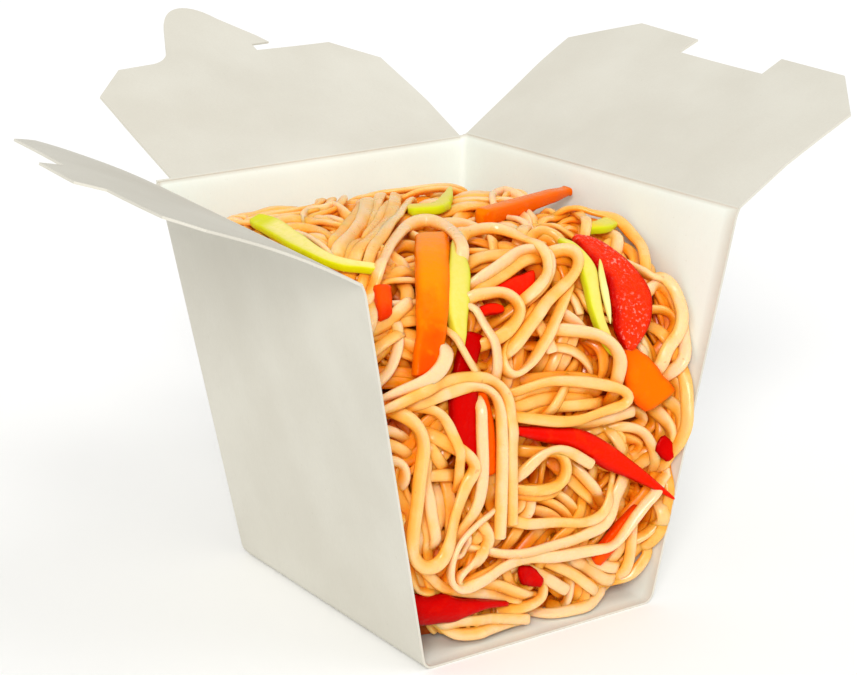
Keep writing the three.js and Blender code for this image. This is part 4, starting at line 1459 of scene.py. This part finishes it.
HIGH_NOODLES = [
    # the top left: what comes from the far left, then the fan that leans over it
    Noodle([(-36, 138), (-30.9, 142), (-26.4, 142.5), (-23.7, 140.1), (-21.9, 136.1), (-21, 131.5),
        (-19.6, 128.2)]),
    Noodle([(-34.5, 134), (-31.1, 135.6), (-28.6, 133.9), (-26.7, 129.4), (-27, 122.6),
        (-27.5, 116.9)]),
    Noodle([(-34, 134), (-32.2, 131.1), (-31.3, 126.8), (-32, 118.1), (-31.9, 111.9)]),
    Noodle([(-24, 141), (-22.5, 144.4), (-18.3, 146.8), (-16.4, 145), (-12.5, 148), (-13.5, 140)]),
    Noodle([(-2.5, 152), (-5.7, 146.6), (-13.7, 136.1), (-22.4, 125.7), (-29, 118.5)], Ends.START,
        girth=0.95),
    Noodle([(4, 153), (-4.1, 142.1), (-14.1, 129), (-22.5, 119.1), (-29.5, 111.3)], Ends.START),
    Noodle([(-1.5, 150), (-3.1, 147.7), (-10.4, 136.3), (-18.9, 125.4), (-26.9, 116.4),
        (-30.8, 112.6)], girth=1.25),
    Noodle([(9, 154), (6, 150), (-3.2, 138.7), (-13, 126.9), (-19.2, 119.9)]),
    Noodle([(7.4, 151), (-4.2, 134.2), (-12.8, 124.4), (-19.9, 117.3), (-25.3, 112), (-29, 108)],
        girth=1.2),
    Noodle([(5.9, 142.9), (-2.5, 132.9), (-10.8, 124.1), (-17.7, 115.9), (-23.5, 109.6),
        (-27.4, 104.6)]),
    Noodle([(-14.5, 62), (-15.6, 56), (-16.4, 48.5), (-17.5, 41.5), (-19, 37.3), (-22.5, 33)]),
    Noodle([(-40, 68.7), (-33, 69.6), (-27, 70.7), (-23, 73.3), (-21.2, 76.5)]),
    Noodle([(-17.8, 79), (-17.5, 75), (-16, 71.7), (-13.4, 68.8)]),
    # the loop beside the left wall
    Noodle([(-36, 64.5), (-33.5, 61.5), (-32, 58), (-32.5, 54), (-34.5, 49.5), (-37.5, 41),
        (-40, 35), (-41, 30), (-39.5, 26.3), (-36, 24.8), (-32, 26), (-29, 30), (-27, 35),
        (-24, 40), (-21, 44.5), (-18.8, 47), (-20.5, 50), (-24, 53)], girth=1.12),
    # the long sweeps across the lower half
    Noodle([(-17, 31), (-15.5, 28), (-15.5, 26), (-18, 23.6), (-23, 22), (-27, 20.5), (-28, 18.6),
        (-24, 17.6), (-16, 18.6)]),
    Noodle([(-13, 34), (-18, 33), (-23, 31), (-27, 27.5), (-30, 23), (-30.5, 19.5), (-28, 17.4),
        (-20, 18), (-14, 19.3), (-8, 20), (0, 19.7), (6, 18.8), (14, 18.5), (25, 18.6), (28, 20.4),
        (30.7, 23.5), (33.8, 27.3), (38, 32)]),
    Noodle([(-15, 23.8), (-10, 22.6), (-4, 21.9), (2, 21.8), (8, 22), (13.4, 22.3), (19.5, 23.5),
        (22.6, 24.3), (25, 27), (26.5, 30.8), (28.4, 33.8)]),
    Noodle([(-6, 30), (-2, 28.8), (5.7, 27.9), (13.4, 26.5), (19.5, 26.3), (22.6, 28),
        (24.5, 31.5)]),
    # the hairpin, the ring and the arm that reaches over it
    Noodle([(-6, 62), (0, 63), (5.7, 63.4), (13.4, 62), (19.5, 60.4), (25, 58.5), (27.6, 57),
        (27.6, 55), (25, 54.2), (20, 53.5), (13.4, 52.5), (8, 53), (3, 54.2), (-5, 56.5)]),
    Noodle([(3, 46), (7.5, 45), (9.3, 42), (9, 39), (6.5, 37.2), (2, 36.8), (-3, 37.5),
        (-6, 38.2)]),
    Noodle([(-5, 41), (-2, 43.5), (1, 45.6), (5, 47), (9.5, 45.4), (13.4, 43), (16.5, 41)],
        Ends.END),
    # the upper middle
    Noodle([(8.8, 75.8), (13.4, 74.6), (18.8, 72.7), (22.6, 69.6), (24.5, 65.8), (25, 61)]),
    Noodle([(3.8, 82.7), (5.3, 78.8), (6.8, 74.2), (7.2, 70.4)], Ends.END),
    Noodle([(13.4, 82.7), (8.1, 76.4), (4, 71.8), (0.4, 68.3), (-3.8, 66.3), (-6, 67.8),
        (-5.8, 71.5), (-3.3, 74.2), (1.4, 78.1), (5.3, 81.3)]),
    Noodle([(-6.5, 88.9), (-3.4, 90.5), (1.4, 92.1), (6.1, 94.6), (11, 96.1), (15.3, 96.3),
        (18.5, 95.7), (20.1, 93.3), (19.2, 90.1), (16.3, 87.4), (11.7, 84.7), (7.3, 82),
        (3.4, 78.8), (-0.4, 75.7), (-4, 72.5)]),
    Noodle([(-10.8, 87.2), (-6, 87.4), (-1.4, 87), (1, 84.3), (1.2, 81.4), (-1.5, 78.7),
        (-5.1, 76.6), (-10.2, 75.4)]),
    Noodle([(-10.6, 84.8), (-9.6, 81.3), (-8.7, 76.8), (-8, 72.5), (-8.4, 68.2)]),
    Noodle([(-6.5, 91.5), (-2, 93), (3, 95.2), (8, 97.7), (12, 97.4), (14, 95), (13.5, 92),
        (11, 89), (7, 86), (4, 84.2)]),
    Noodle([(-3, 105.8), (2.5, 109.8), (7.8, 109.8), (10.3, 105.5), (11.5, 99.2), (12.5, 94.8),
        (11.5, 90.8), (7.8, 87), (3.5, 84.5)]),
    Noodle([(-28.2, 99), (-23.7, 104.2), (-16.2, 112.8), (-8, 121.2), (-1.3, 124.2), (-0.5, 117.2),
        (-3.7, 106.5), (-6.5, 99)]),
    Noodle([(31.8, 118.2), (37, 118.8), (32.3, 109.5), (27.5, 101.2)]),
    Noodle([(33, 118), (36.5, 114), (40, 111), (42.8, 107), (42.4, 101), (39.5, 93.5), (37.6, 87)]),
    Noodle([(40.6, 68.9), (42.5, 64.8), (43.6, 60.2), (43.8, 54.4), (43.4, 48.8), (42, 43.9)]),
    Noodle([(37.2, 84), (40, 86.4), (42.7, 86), (43.8, 81), (43.7, 74.3), (42.5, 67), (40, 63)]),
    Noodle([(36.6, 88.8), (37.5, 86), (40.6, 87.6), (42.6, 85.6), (43, 79.1), (41.5, 73.1),
        (38.4, 68.4), (37, 64)]),
    Noodle([(-31, 64.3), (-28, 63.2), (-25.5, 61), (-24.2, 57), (-23.5, 52), (-23.3, 46.5)],
        Ends.START),
    # the double arch that crosses the middle
    Noodle([(-31, 65), (-25, 65.8), (-20, 66.2), (-16, 66.2), (-12.5, 65), (-10.2, 62.7),
        (-9.5, 58.8), (-9.7, 54), (-10.4, 47), (-11.7, 37), (-12.8, 27.6)], Ends.END),
    Noodle([(-40, 66.5), (-35, 66.7), (-30, 67.8), (-25, 68.7), (-20, 68.9), (-15, 68.3),
        (-11.4, 66.9), (-9, 65.2), (-7.2, 62.5), (-6.8, 58), (-7.2, 50), (-7.6, 42), (-8.3, 30.3)],
        Ends.END),
]


@dataclass(frozen=True)
class Wander:
    """How a hidden noodle wanders over the unrolled heap, and turns back at its borders."""

    stride: float = 3.0
    first_bend: float = 0.07
    memory: float = 0.86
    change: float = 0.04
    side_border: float = 34.0
    side_pull: float = -0.03
    foot_border: float = 14.0
    foot_aim: float = 20.0
    rear_border: float = 172.0
    rear_aim: float = 168.0
    end_pull: float = 0.07
    least: Pair = (-43.5, 2.2)
    most: Pair = (43.5, 186.0)

    def pull(self, place: Array) -> Array:
        """The way back from the borders, as it is felt at a place."""
        a, q = place
        aside = self.side_pull * a if abs(a) > self.side_border else 0.0
        if q < self.foot_border:
            return np.array([aside, (self.foot_aim - q) * self.end_pull])
        if q > self.rear_border:
            return np.array([aside, (self.rear_aim - q) * self.end_pull])
        return np.array([aside, 0.0])

    def line(self, draw: np.random.Generator, start: Pair, length: float) -> Array:
        """A lazily bending line.

        Args:
            draw: the source of chance.
            start: where it begins.
            length: how long it is.

        Returns:
            Its points.
        """
        place = np.array(start)
        heading = draw.uniform(0, 2 * math.pi)
        bend = draw.normal(0, self.first_bend)
        line = [place]
        for _ in range(int(length / self.stride)):
            bend = self.memory * bend + draw.normal(0, self.change)
            way = np.array([math.cos(heading), math.sin(heading)]) + self.pull(place)
            heading = math.atan2(way[1], way[0]) + bend * self.stride
            step = self.stride * np.array([math.cos(heading), math.sin(heading)])
            place = np.clip(place + step, self.least, self.most)
            line.append(place)
        return np.array(line)


@dataclass(frozen=True)
class Fill:
    """Bundles of wandering noodles, spread evenly over the heap in cells."""

    layer: Layer
    cell: Pair
    lengths: Pair
    from_q: float = 0.0
    reach_a: Pair = (-40, 41)
    reach_q: Pair = (6, 184)
    least: Pair = (-43.7, 2.0)
    most: Pair = (43.7, 188.0)
    apart: float = 2.7
    bundle: int = 4
    ragged_start: int = 2
    ragged_end: int = 3
    girths: Pair = (0.84, 1.04)
    wander: Wander = Wander()

    def noodles(self, draw: np.random.Generator) -> list[Noodle]:
        """Lays the bundles.

        Args:
            draw: the source of chance.

        Returns:
            Their noodles.
        """
        made = []
        for q in np.arange(*self.reach_q, self.cell[1]):
            for a in np.arange(*self.reach_a, self.cell[0]):
                start = (a + draw.uniform(-0.5, 0.5) * self.cell[0],
                         q + draw.uniform(-0.5, 0.5) * self.cell[1])
                line = self.wander.line(draw, start, draw.uniform(*self.lengths))
                along = unit(np.gradient(line, axis=0))
                side = np.stack([along[:, 1], -along[:, 0]], axis=1)
                for index in range(draw.integers(1, self.bundle + 1)):
                    cut = slice(draw.integers(0, self.ragged_start + 1),
                                len(line) - draw.integers(0, self.ragged_end + 1))
                    moved = line[cut] + side[cut] * self.apart * index
                    moved = np.clip(moved, self.least, self.most)
                    if moved[0][1] >= self.from_q:
                        made.append(Noodle(moved.tolist(), Ends.HIDDEN, self.layer,
                                           draw.uniform(*self.girths)))
        return made


@dataclass
class Samples:
    """Points along all the noodles and over all the strips, in one row, with what holds at each.

    Places are on the unrolled heap. The owner is the noodle's index, or below zero for a strip. A
    point of higher rank lies over one of lower rank. Target is the height that it would like.
    """

    places: Array
    owner: Array
    rank: Array
    target: Array
    radius: Array
    fixed: Array
    diving: Array


@dataclass
class Tangle:
    """The noodles: laid, settled against each other, and swept as flat, slowly twisting cords.

    All lengths in millimetres, on the unrolled heap or off it.
    """

    surface: HeapSurface
    strips: Sequence[Strip]
    seed: int = 11
    fills_below: Sequence[Fill] = (
        Fill(Layer.DEEP, (24, 21), (55, 95)), Fill(Layer.LOWER, (24, 21), (55, 95)),
        Fill(Layer.UNDER, (27, 24), (40, 75)), Fill(Layer.UNDER, (30, 24), (40, 70), 112))
    fill_on_top: Fill = Fill(Layer.OVER, (30, 22), (40, 65), 128)
    girths: Pair = (0.82, 1.06)
    radius: float = 1.25
    flatness: float = 0.34
    sharpness: float = 0.76
    sides: int = 10
    refine: float = 1.3
    easings: int = 3
    cap: float = 0.35
    cap_girth: float = 0.8
    swell: float = 0.05
    swell_length: float = 6.0
    rim_shade: float = 1.6
    most_depth: float = 12.0
    sharp: float = 50.0
    # how it is laid
    spacing: float = 1.4
    least: Pair = (-43.9, 1.6)
    most: Pair = (43.9, 189.0)
    tuck: float = 2.8
    dive_length: float = 10.0
    dive_depth: float = 8.0
    rank_step: int = 1000
    sunk_under_all: float = 0.45
    # how it settles
    rounds: int = 140
    last_rounds: int = 10
    search: float = 2.4
    search_margin: float = 0.5
    own_gap: int = 5
    strip_spacing: float = 1.5
    tightness: float = 0.92
    upper_share: float = 0.45
    lower_share: float = 0.55
    haste: float = 0.6
    homing: float = 0.08
    floor_depth: float = -11.0
    give: float = 2.4
    highest: float = 1.4
    # how it turns about its length
    smoothing: int = 4
    straight_bend: float = 0.03
    stand_bend: float = 0.09
    stand_angle: float = 1.2
    drift: float = 0.45
    drift_lengths: Pair = (7, 13)
    # how it keeps clear of the shut flaps and the card
    food_top: float = 96.5
    layer_gap: float = 1.8
    yielding: float = 1.3
    room: float = 1.1
    side_room: float = 1.15
    wall_gap: float = 0.2
    # how its top is found, for the depth that sets the noodles' painted shade and sauce tint
    grid_origin: tuple[int, int] = (56, 6)
    grid_cells: tuple[int, int] = (112, 204)
    grid_floor: float = -9.0
    grid_spread: float = 1.2
    grid_rounds: int = 5
    noodles: list[Noodle] = field(default_factory=list)

    def add_fill(self, fill: Fill) -> None:
        """Adds a fill's noodles."""
        self.noodles.extend(fill.noodles(np.random.default_rng(self.seed + len(self.noodles))))

    def add_drawn(self, drawn: Sequence[Noodle], layer: Layer, draw: np.random.Generator) -> None:
        """Adds noodles whose lines are given.

        Args:
            drawn: the noodles.
            layer: the layer they go to.
            draw: the source of chance, for their girths.
        """
        for noodle in drawn:
            girth = noodle.girth * draw.uniform(*self.girths)
            self.noodles.append(Noodle(noodle.line, noodle.ends, layer, girth))

    def gather(self) -> None:
        """Lists all the noodles, deepest first."""
        draw = np.random.default_rng(self.seed)
        for fill in self.fills_below:
            self.add_fill(fill)
        self.noodles.extend(FLANK_NOODLES)
        self.add_drawn(LOW_NOODLES, Layer.UNDER, draw)
        self.add_fill(self.fill_on_top)
        self.add_drawn(HIGH_NOODLES, Layer.OVER, draw)

    def lay(self, noodle: Noodle) -> tuple[Array, Array]:
        """A noodle's evenly spaced points, with its dives added.

        Args:
            noodle: the noodle.

        Returns:
            Its points, and how far each has dived, from 0 to 1.
        """
        path = smooth_line(noodle.line, self.spacing)
        sunk = np.zeros(len(path))
        steps = np.arange(1, int((self.tuck + self.dive_length) / self.spacing) + 1)
        depth = np.clip((steps * self.spacing - self.tuck) / self.dive_length, 0.02, 1)
        for cut, forward in zip(noodle.ends.value, (-1, 1)):
            if not cut:
                path, sunk = path[::forward], sunk[::forward]
                way = unit(path[-1] - path[-3])
                path = np.concatenate([path, path[-1] + steps[:, None] * self.spacing * way])
                sunk = np.concatenate([sunk, depth])
                path, sunk = path[::forward], sunk[::forward]
        return np.clip(path, self.least, self.most), sunk

    def sample(self) -> Samples:
        """Samples all the noodles, and the strips that they lie against.

        Returns:
            The samples, noodles first.
        """
        layers = list(Layer)
        rows: list[tuple] = []
        for index, (noodle, path, sunk) in enumerate(zip(self.noodles, self.paths, self.sunk)):
            whole = np.ones(len(path))
            rank = whole * (layers.index(noodle.layer) * self.rank_step + index)
            rank = np.where(sunk > self.sunk_under_all, -1, rank - self.rank_step * (sunk > 0))
            target = noodle.layer.value - self.dive_depth * sunk
            rows.append((path, whole * index, rank, target, whole * self.radius * noodle.girth,
                         whole == 0, sunk > 0))
        first_high = len(self.noodles) - len(HIGH_NOODLES)
        between = layers.index(Layer.OVER) * self.rank_step + first_high - 0.5
        for index, strip in enumerate(self.strips):
            spread, level = strip.footprint(self.strip_spacing)
            whole = np.ones(len(spread))
            rows.append((spread, whole * (-1 - index), whole * between, level,
                         whole * strip.thick / 2, whole == 1, whole == 0))
        return Samples(*(np.concatenate(column) for column in zip(*rows)))

    def contacts(self, samples: Samples) -> tuple[Array, Array, Array]:
        """Finds the pairs of points that lie over each other.

        Args:
            samples: all the points.

        Returns:
            The upper points, the lower ones, and the heights that they need between them.
        """
        places, none = samples.places, np.zeros(len(samples.owner))
        flat = self.surface.place(places[:, 0], places[:, 1], none)[0]
        spots = np.stack([flat[:, 0], places[:, 1]], axis=1)
        first, second = near_pairs(spots, self.search * self.radius + self.search_margin)
        gap = np.linalg.norm(spots[first] - spots[second], axis=1)
        reach = samples.radius[first] + samples.radius[second]
        same = samples.owner[first] == samples.owner[second]
        far = np.abs(first - second) > self.own_gap
        far = far & ~samples.diving[first] & ~samples.diving[second]
        above = (samples.rank[first] > samples.rank[second]) | (same & (first > second))
        still = samples.fixed[first] & samples.fixed[second]
        keep = (gap < reach) & above & (~same | far) & ~still
        need = self.tightness * np.sqrt(reach[keep] ** 2 - gap[keep] ** 2)
        return first[keep], second[keep], need

    def settle(self) -> None:
        """Finds every noodle's height: crossing noodles push apart, and bend only gently."""
        laid = [self.lay(noodle) for noodle in self.noodles]
        self.paths, self.sunk = [path for path, _ in laid], [sunk for _, sunk in laid]
        samples = self.sample()
        upper, lower, need = self.contacts(samples)
        LOG.info("tangle: %d noodles, %d points, %d contacts", len(laid), len(samples.owner),
                 len(upper))
        serial = np.arange(len(samples.owner))
        before = np.where(np.roll(samples.owner, 1) == samples.owner, serial - 1, serial)
        after = np.where(np.roll(samples.owner, -1) == samples.owner, serial + 1, serial)
        before[0], after[-1] = 0, len(serial) - 1
        held = samples.fixed[lower]
        yields = samples.fixed[upper] | samples.diving[lower]
        share_up = np.where(yields, 0.0, np.where(held, 1.0, self.upper_share))
        share_down = np.where(held, 0.0, np.where(yields, 1.0, self.lower_share))
        lowest = np.where(samples.diving, self.floor_depth, samples.target - self.give)
        height = samples.target.copy()
        most_up, most_down = largest_by(upper, len(height)), largest_by(lower, len(height))
        for turn in range(self.rounds):
            push = np.maximum(need - (height[upper] - height[lower]), 0)
            moved = height + self.haste * (most_up(push * share_up) - most_down(push * share_down))
            if turn < self.rounds - self.last_rounds:
                moved += self.homing * (samples.target - moved)
                moved = 0.5 * moved + 0.25 * (moved[before] + moved[after])
            height = np.where(samples.fixed, samples.target, np.clip(moved, lowest, self.highest))
        ends = np.cumsum([len(path) for path in self.paths])
        self.heights = np.split(height[:ends[-1]], ends[:-1])

    def ceiling(self) -> Callable[[Array, Array], Array]:
        """The height of the heap's top all over, smoothed.

        Returns:
            A function that gives the height at a and q.
        """
        grid = np.full(self.grid_cells, self.grid_floor)

        def cell(a: Array, q: Array) -> tuple[Array, Array]:
            """The grid cell of a point of the heap, a millimetre to a cell."""
            places = zip((a, q), self.grid_origin, self.grid_cells)
            return tuple(np.clip((values + start).astype(int), 0, count - 1)
                         for values, start, count in places)

        shifts = (-self.grid_spread, 0, self.grid_spread)
        for path, height in zip(self.paths, self.heights):
            for da in shifts:
                for dq in shifts:
                    near = cell(path[:, 0] + da, path[:, 1] + dq)
                    np.maximum.at(grid, near, height + self.radius)
        for strip in self.strips:
            spread, level = strip.footprint(1.0)
            np.maximum.at(grid, cell(spread[:, 0], spread[:, 1]), level + strip.thick / 2)
        for _ in range(self.grid_rounds):
            padded = np.pad(grid, 1, mode="edge")
            grid = (padded[1:-1, 1:-1] * 2 + padded[:-2, 1:-1] + padded[2:, 1:-1]
                    + padded[1:-1, :-2] + padded[1:-1, 2:]) / 6
        return lambda a, q: grid[cell(a, q)]

    def twist(self, path: Array, draw: np.random.Generator) -> Array:
        """How a flat noodle turns about its length: it stands on edge where it bends sideways.

        Args:
            path: its points on the unrolled heap.
            draw: the source of chance.

        Returns:
            The turn at each point, in radians.
        """
        along = unit(np.gradient(path, axis=0))
        heading = np.unwrap(np.arctan2(along[:, 1], along[:, 0]))
        bend = np.gradient(heading) / self.spacing
        kernel = np.hanning(2 * self.smoothing + 3)[1:-1]
        kernel /= kernel.sum()
        bend = np.convolve(np.pad(bend, self.smoothing, mode="edge"), kernel, "valid")
        stand = np.clip((np.abs(bend) - self.straight_bend) / self.stand_bend, 0, 1)
        drift = draw.uniform(-0.5, 0.5) + self.drift * np.sin(
            np.arange(len(path)) / draw.uniform(*self.drift_lengths) + draw.uniform(0, 6))
        turned = np.sign(bend) * self.stand_angle * stand ** 2 * (3 - 2 * stand) + drift
        return np.convolve(np.pad(turned, self.smoothing, mode="edge"), kernel, "valid")

    def keep_clear(self, centre: Array, radius: float, layer: Layer) -> None:
        """Moves a noodle's middle to where it clears the shut flaps, the floor and the walls.

        Args:
            centre: its points in the box, changed in place.
            radius: its radius.
            layer: its layer; each layer gives way to the ones above it.
        """
        below = len(Layer) - 1 - list(Layer).index(layer)
        top = self.food_top - radius * self.room - self.layer_gap * below
        over = np.maximum(centre[:, 2] - top + self.yielding, 0)
        eased = top - self.yielding * np.exp(-over / self.yielding)
        centre[:, 2] = np.where(over > 0, eased, centre[:, 2])
        centre[:, 2] = np.maximum(centre[:, 2], BOX.card + radius * self.room)
        side = (BOX.half_width(centre[:, 1], centre[:, 2]) - BOX.card - self.wall_gap
                - radius * self.side_room)
        centre[:, 0] = np.clip(centre[:, 0], -side, side)
        rear = BOX.back(centre[:, 2]) - BOX.card - self.wall_gap - radius * self.side_room
        centre[:, 1] = np.minimum(centre[:, 1], rear)

    def centre_line(self, index: int) -> tuple[Array, Array, Array]:
        """A noodle's middle in the box.

        Args:
            index: which noodle.

        Returns:
            Its places on the heap (a, q, height, turn) row by row, its points and the heap's
            normals.
        """
        noodle, path, height = self.noodles[index], self.paths[index], self.heights[index]
        fine = np.linspace(0, len(path) - 1, int((len(path) - 1) * self.refine) + 2)
        knots = np.arange(len(path))
        spread = np.stack([np.interp(fine, knots, values)
                           for values in (*path.T, height, self.twist(path, self.draw))], axis=1)
        centre, normal = self.surface.place(*spread[:, :3].T)
        self.keep_clear(centre, self.radius * noodle.girth, noodle.layer)
        for _ in range(self.easings):
            centre[1:-1] = 0.25 * centre[:-2] + 0.5 * centre[1:-1] + 0.25 * centre[2:]
        return spread, centre, normal

    def sweep(self, sketch: MeshSketch, index: int, ceiling: Callable) -> None:
        """Sweeps one noodle as a cord with a flattened section and clean cut ends.

        Args:
            sketch: the mesh it is added to.
            index: which noodle.
            ceiling: gives the height of the heap's top at a and q.
        """
        spread, centre, normal = self.centre_line(index)
        along = unit(np.gradient(centre, axis=0))
        across = unit(np.cross(along, normal))
        up = np.cross(across, along)
        count = len(centre)
        centre = np.concatenate([centre[:1] - along[:1] * self.cap, centre,
                                 centre[-1:] + along[-1:] * self.cap])
        pick = np.clip(np.arange(-1, count + 1), 0, count - 1)
        spread, across, up = spread[pick], across[pick], up[pick]
        scale = self.radius * self.noodles[index].girth * np.ones(count + 2)
        phase = np.arange(count + 2) / self.swell_length + self.draw.uniform(0, 6)
        scale *= 1 + self.swell * np.sin(phase)
        scale[[0, -1]] *= self.cap_girth
        turn = ring_angles(self.sides)
        broad = (1 + self.flatness) * squared(np.cos(turn), self.sharpness)
        thin = (1 - self.flatness) * squared(np.sin(turn), self.sharpness)
        cos, sin = np.cos(spread[:, 3:]), np.sin(spread[:, 3:])
        wide = scale[:, None] * (broad * cos - thin * sin)
        tall = scale[:, None] * (broad * sin + thin * cos)
        rows = centre[:, None] + across[:, None] * wide[..., None] + up[:, None] * tall[..., None]
        # painted shade: the depth grows on each noodle's sides, so they come out darker orange than
        # its lit top
        sunk = ceiling(spread[:, 0], spread[:, 1])[:, None] - spread[:, 2:3] - self.radius
        depth = np.clip(sunk + self.rim_shade * (self.radius - tall), 0, self.most_depth)
        tone = np.full(depth.size, self.draw.uniform(0, 1))
        sketch.add_tube(rows, depth=depth.reshape(-1), tone=tone)

    def build(self, material: Material) -> list[bpy.types.Object]:
        """Makes one piece for each layer of noodles.

        Args:
            material: their finish.

        Returns:
            The pieces, deepest first.
        """
        self.gather()
        self.settle()
        ceiling = self.ceiling()
        self.draw = np.random.default_rng(self.seed + 1)
        pieces = []
        for layer in Layer:
            sketch = MeshSketch()
            for index, noodle in enumerate(self.noodles):
                if noodle.layer is layer:
                    self.sweep(sketch, index, ceiling)
            pieces.append(sketch.piece(f"noodles_{layer.name.lower()}", material, self.sharp))
        return pieces


@dataclass
class HeapCore:
    """What lies below the noodles that show: a dark mass that fills the box, dark as painted shade
    of the deep gaps.
    """

    surface: HeapSurface
    depth: float = 12.0
    rows: int = 60
    columns: int = 40
    width_share: float = 0.99
    floor_gap: float = 0.3
    wall_gap: float = 1.2
    sharp: float = 30.0

    def build(self, material: Material) -> bpy.types.Object:
        """Makes the piece.

        Args:
            material: its finish.

        Returns:
            The core.
        """
        sketch = MeshSketch()
        angles = np.linspace(0.0, math.pi, self.rows)
        across = np.linspace(-self.width_share, self.width_share, self.columns)
        rows = np.stack([self.surface.outline(across, np.full(self.columns, angle), self.depth)
                         for angle in angles])
        rows[..., 2] = np.maximum(rows[..., 2], BOX.card + self.floor_gap)
        rows[..., 1] = np.minimum(rows[..., 1], BOX.back(rows[..., 2]) - self.wall_gap)
        first = sketch.add_grid(rows, False)
        index = first + np.arange(self.rows * self.columns).reshape(self.rows, self.columns)
        sketch.faces.append(tuple(index[:, 0].tolist()))
        sketch.faces.append(tuple(index[::-1, -1].tolist()))
        sketch.faces.append(tuple(index[0].tolist() + index[-1, ::-1].tolist()))
        return sketch.piece("noodles_core", material, self.sharp)


# ---- the studio


@dataclass(frozen=True)
class Sun:
    """A soft light far away.

    Toward is the way that leads to it, and spread how wide it looks in degrees.
    """

    name: str
    toward: Triple
    spread: float
    strength: float
    tint: Triple = (1.0, 1.0, 1.0)

    def hang(self) -> None:
        """Adds the light to the scene."""
        lamp = bpy.data.lights.new(self.name, "SUN")
        lamp.angle = math.radians(self.spread)
        lamp.energy = self.strength
        lamp.color = self.tint
        holder = bpy.data.objects.new(self.name, lamp)
        holder.rotation_euler = (-Vector(self.toward)).to_track_quat("-Z", "Y").to_euler()
        bpy.context.scene.collection.objects.link(holder)


@dataclass(frozen=True)
class Studio:
    """Floor, lights and camera. Places in metres, angles in degrees, lens and film in mm."""

    eye: Triple = (-0.3099, -0.4442, 0.2369)
    azimuth: float = -34.52
    elevation: float = 17.58
    roll: float = 0.12
    lens: float = 95.07
    film: float = 36.0
    nearest: float = 0.01
    floor_reach: float = 8.0
    sky: float = 0.7
    key: Sun = Sun("key", (-0.55, -0.68, 0.5), 20.0, 1.85, (1.0, 0.99, 0.97))
    top: Sun = Sun("top", (0.25, -0.35, 0.9), 30.0, 0.4)

    def add_floor(self, material: Material) -> None:
        """Lays a wide pale floor.

        Args:
            material: its finish.
        """
        mesh = bpy.data.meshes.new("studio_floor")
        reach = self.floor_reach
        corners = [(-reach, -reach, 0), (reach, -reach, 0), (reach, reach, 0), (-reach, reach, 0)]
        mesh.from_pydata(corners, [], [(0, 1, 2, 3)])
        mesh.materials.append(material)
        floor = bpy.data.objects.new("studio_floor", mesh)
        bpy.context.scene.collection.objects.link(floor)

    def add_sky(self) -> None:
        """Lights the scene evenly from all round."""
        world = bpy.data.worlds.new("studio")
        world.use_nodes = True
        background = world.node_tree.nodes["Background"]
        background.inputs["Color"].default_value = (1.0, 1.0, 1.0, 1.0)
        background.inputs["Strength"].default_value = self.sky
        bpy.context.scene.world = world
        bpy.context.scene.view_settings.view_transform = "Standard"

    def add_camera(self) -> None:
        """Sets up the camera."""
        azimuth, elevation = math.radians(self.azimuth), math.radians(self.elevation)
        back = Vector((math.sin(azimuth) * math.cos(elevation),
                       -math.cos(azimuth) * math.cos(elevation), math.sin(elevation)))
        right = Vector((math.cos(azimuth), math.sin(azimuth), 0))
        up = back.cross(right)
        roll = math.radians(self.roll)
        turned_right = right * math.cos(roll) + up * math.sin(roll)
        turned_up = up * math.cos(roll) - right * math.sin(roll)
        camera = bpy.data.cameras.new("camera")
        camera.lens = self.lens
        camera.sensor_width = self.film
        camera.clip_start = self.nearest
        holder = bpy.data.objects.new("camera", camera)
        turn = Matrix((turned_right, turned_up, back)).transposed().to_4x4()
        holder.matrix_world = Matrix.Translation(self.eye) @ turn
        bpy.context.scene.collection.objects.link(holder)
        bpy.context.scene.camera = holder

    def build(self) -> None:
        """Sets it all up."""
        self.add_camera()
        self.add_floor(FloorFinish().build())
        self.add_sky()
        self.key.hang()
        self.top.hang()


# ---- main


def main() -> None:
    """Builds the box, its flaps and the food."""
    logging.basicConfig(level=logging.INFO, format="%(name)s: %(message)s")
    Studio().build()

    card = CardFinish().build()
    walls = CardShell().build(card)
    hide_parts("card_box")
    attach(walls, BODY)
    report(walls)
    flaps = [
        Flap("left_flap", "flap_left", Side.LEFT, left_flap_outline, lean=59.5, curl=26.0),
        Flap("back_flap", "flap_back", Side.BACK, back_flap_outline, lean=66.5, curl=0.0),
        Flap("right_flap", "flap_right", Side.RIGHT, right_flap_outline, lean=61.5, curl=5.0),
    ]
    for flap in flaps:
        piece = flap.build(card)
        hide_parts(flap.name)
        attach(piece, flap.body)
        report(piece)

    finishes = {dressing: dressing.value[1].build() for dressing in Dressing}
    for strip in STRIPS:
        piece = strip.build(finishes[strip.dressing], HEAP)
        if not strip.loose:
            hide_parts(strip.name)
        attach(piece, BODY)
        report(piece)

    core = HeapCore(HEAP).build(SauceAndShadeFinish().build())
    noodles = Tangle(HEAP, STRIPS).build(NoodleFinish().build())
    for piece in [core, *noodles]:
        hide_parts("noodles")
        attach(piece, BODY)
        report(piece)


if __name__ == "__main__":
    main()
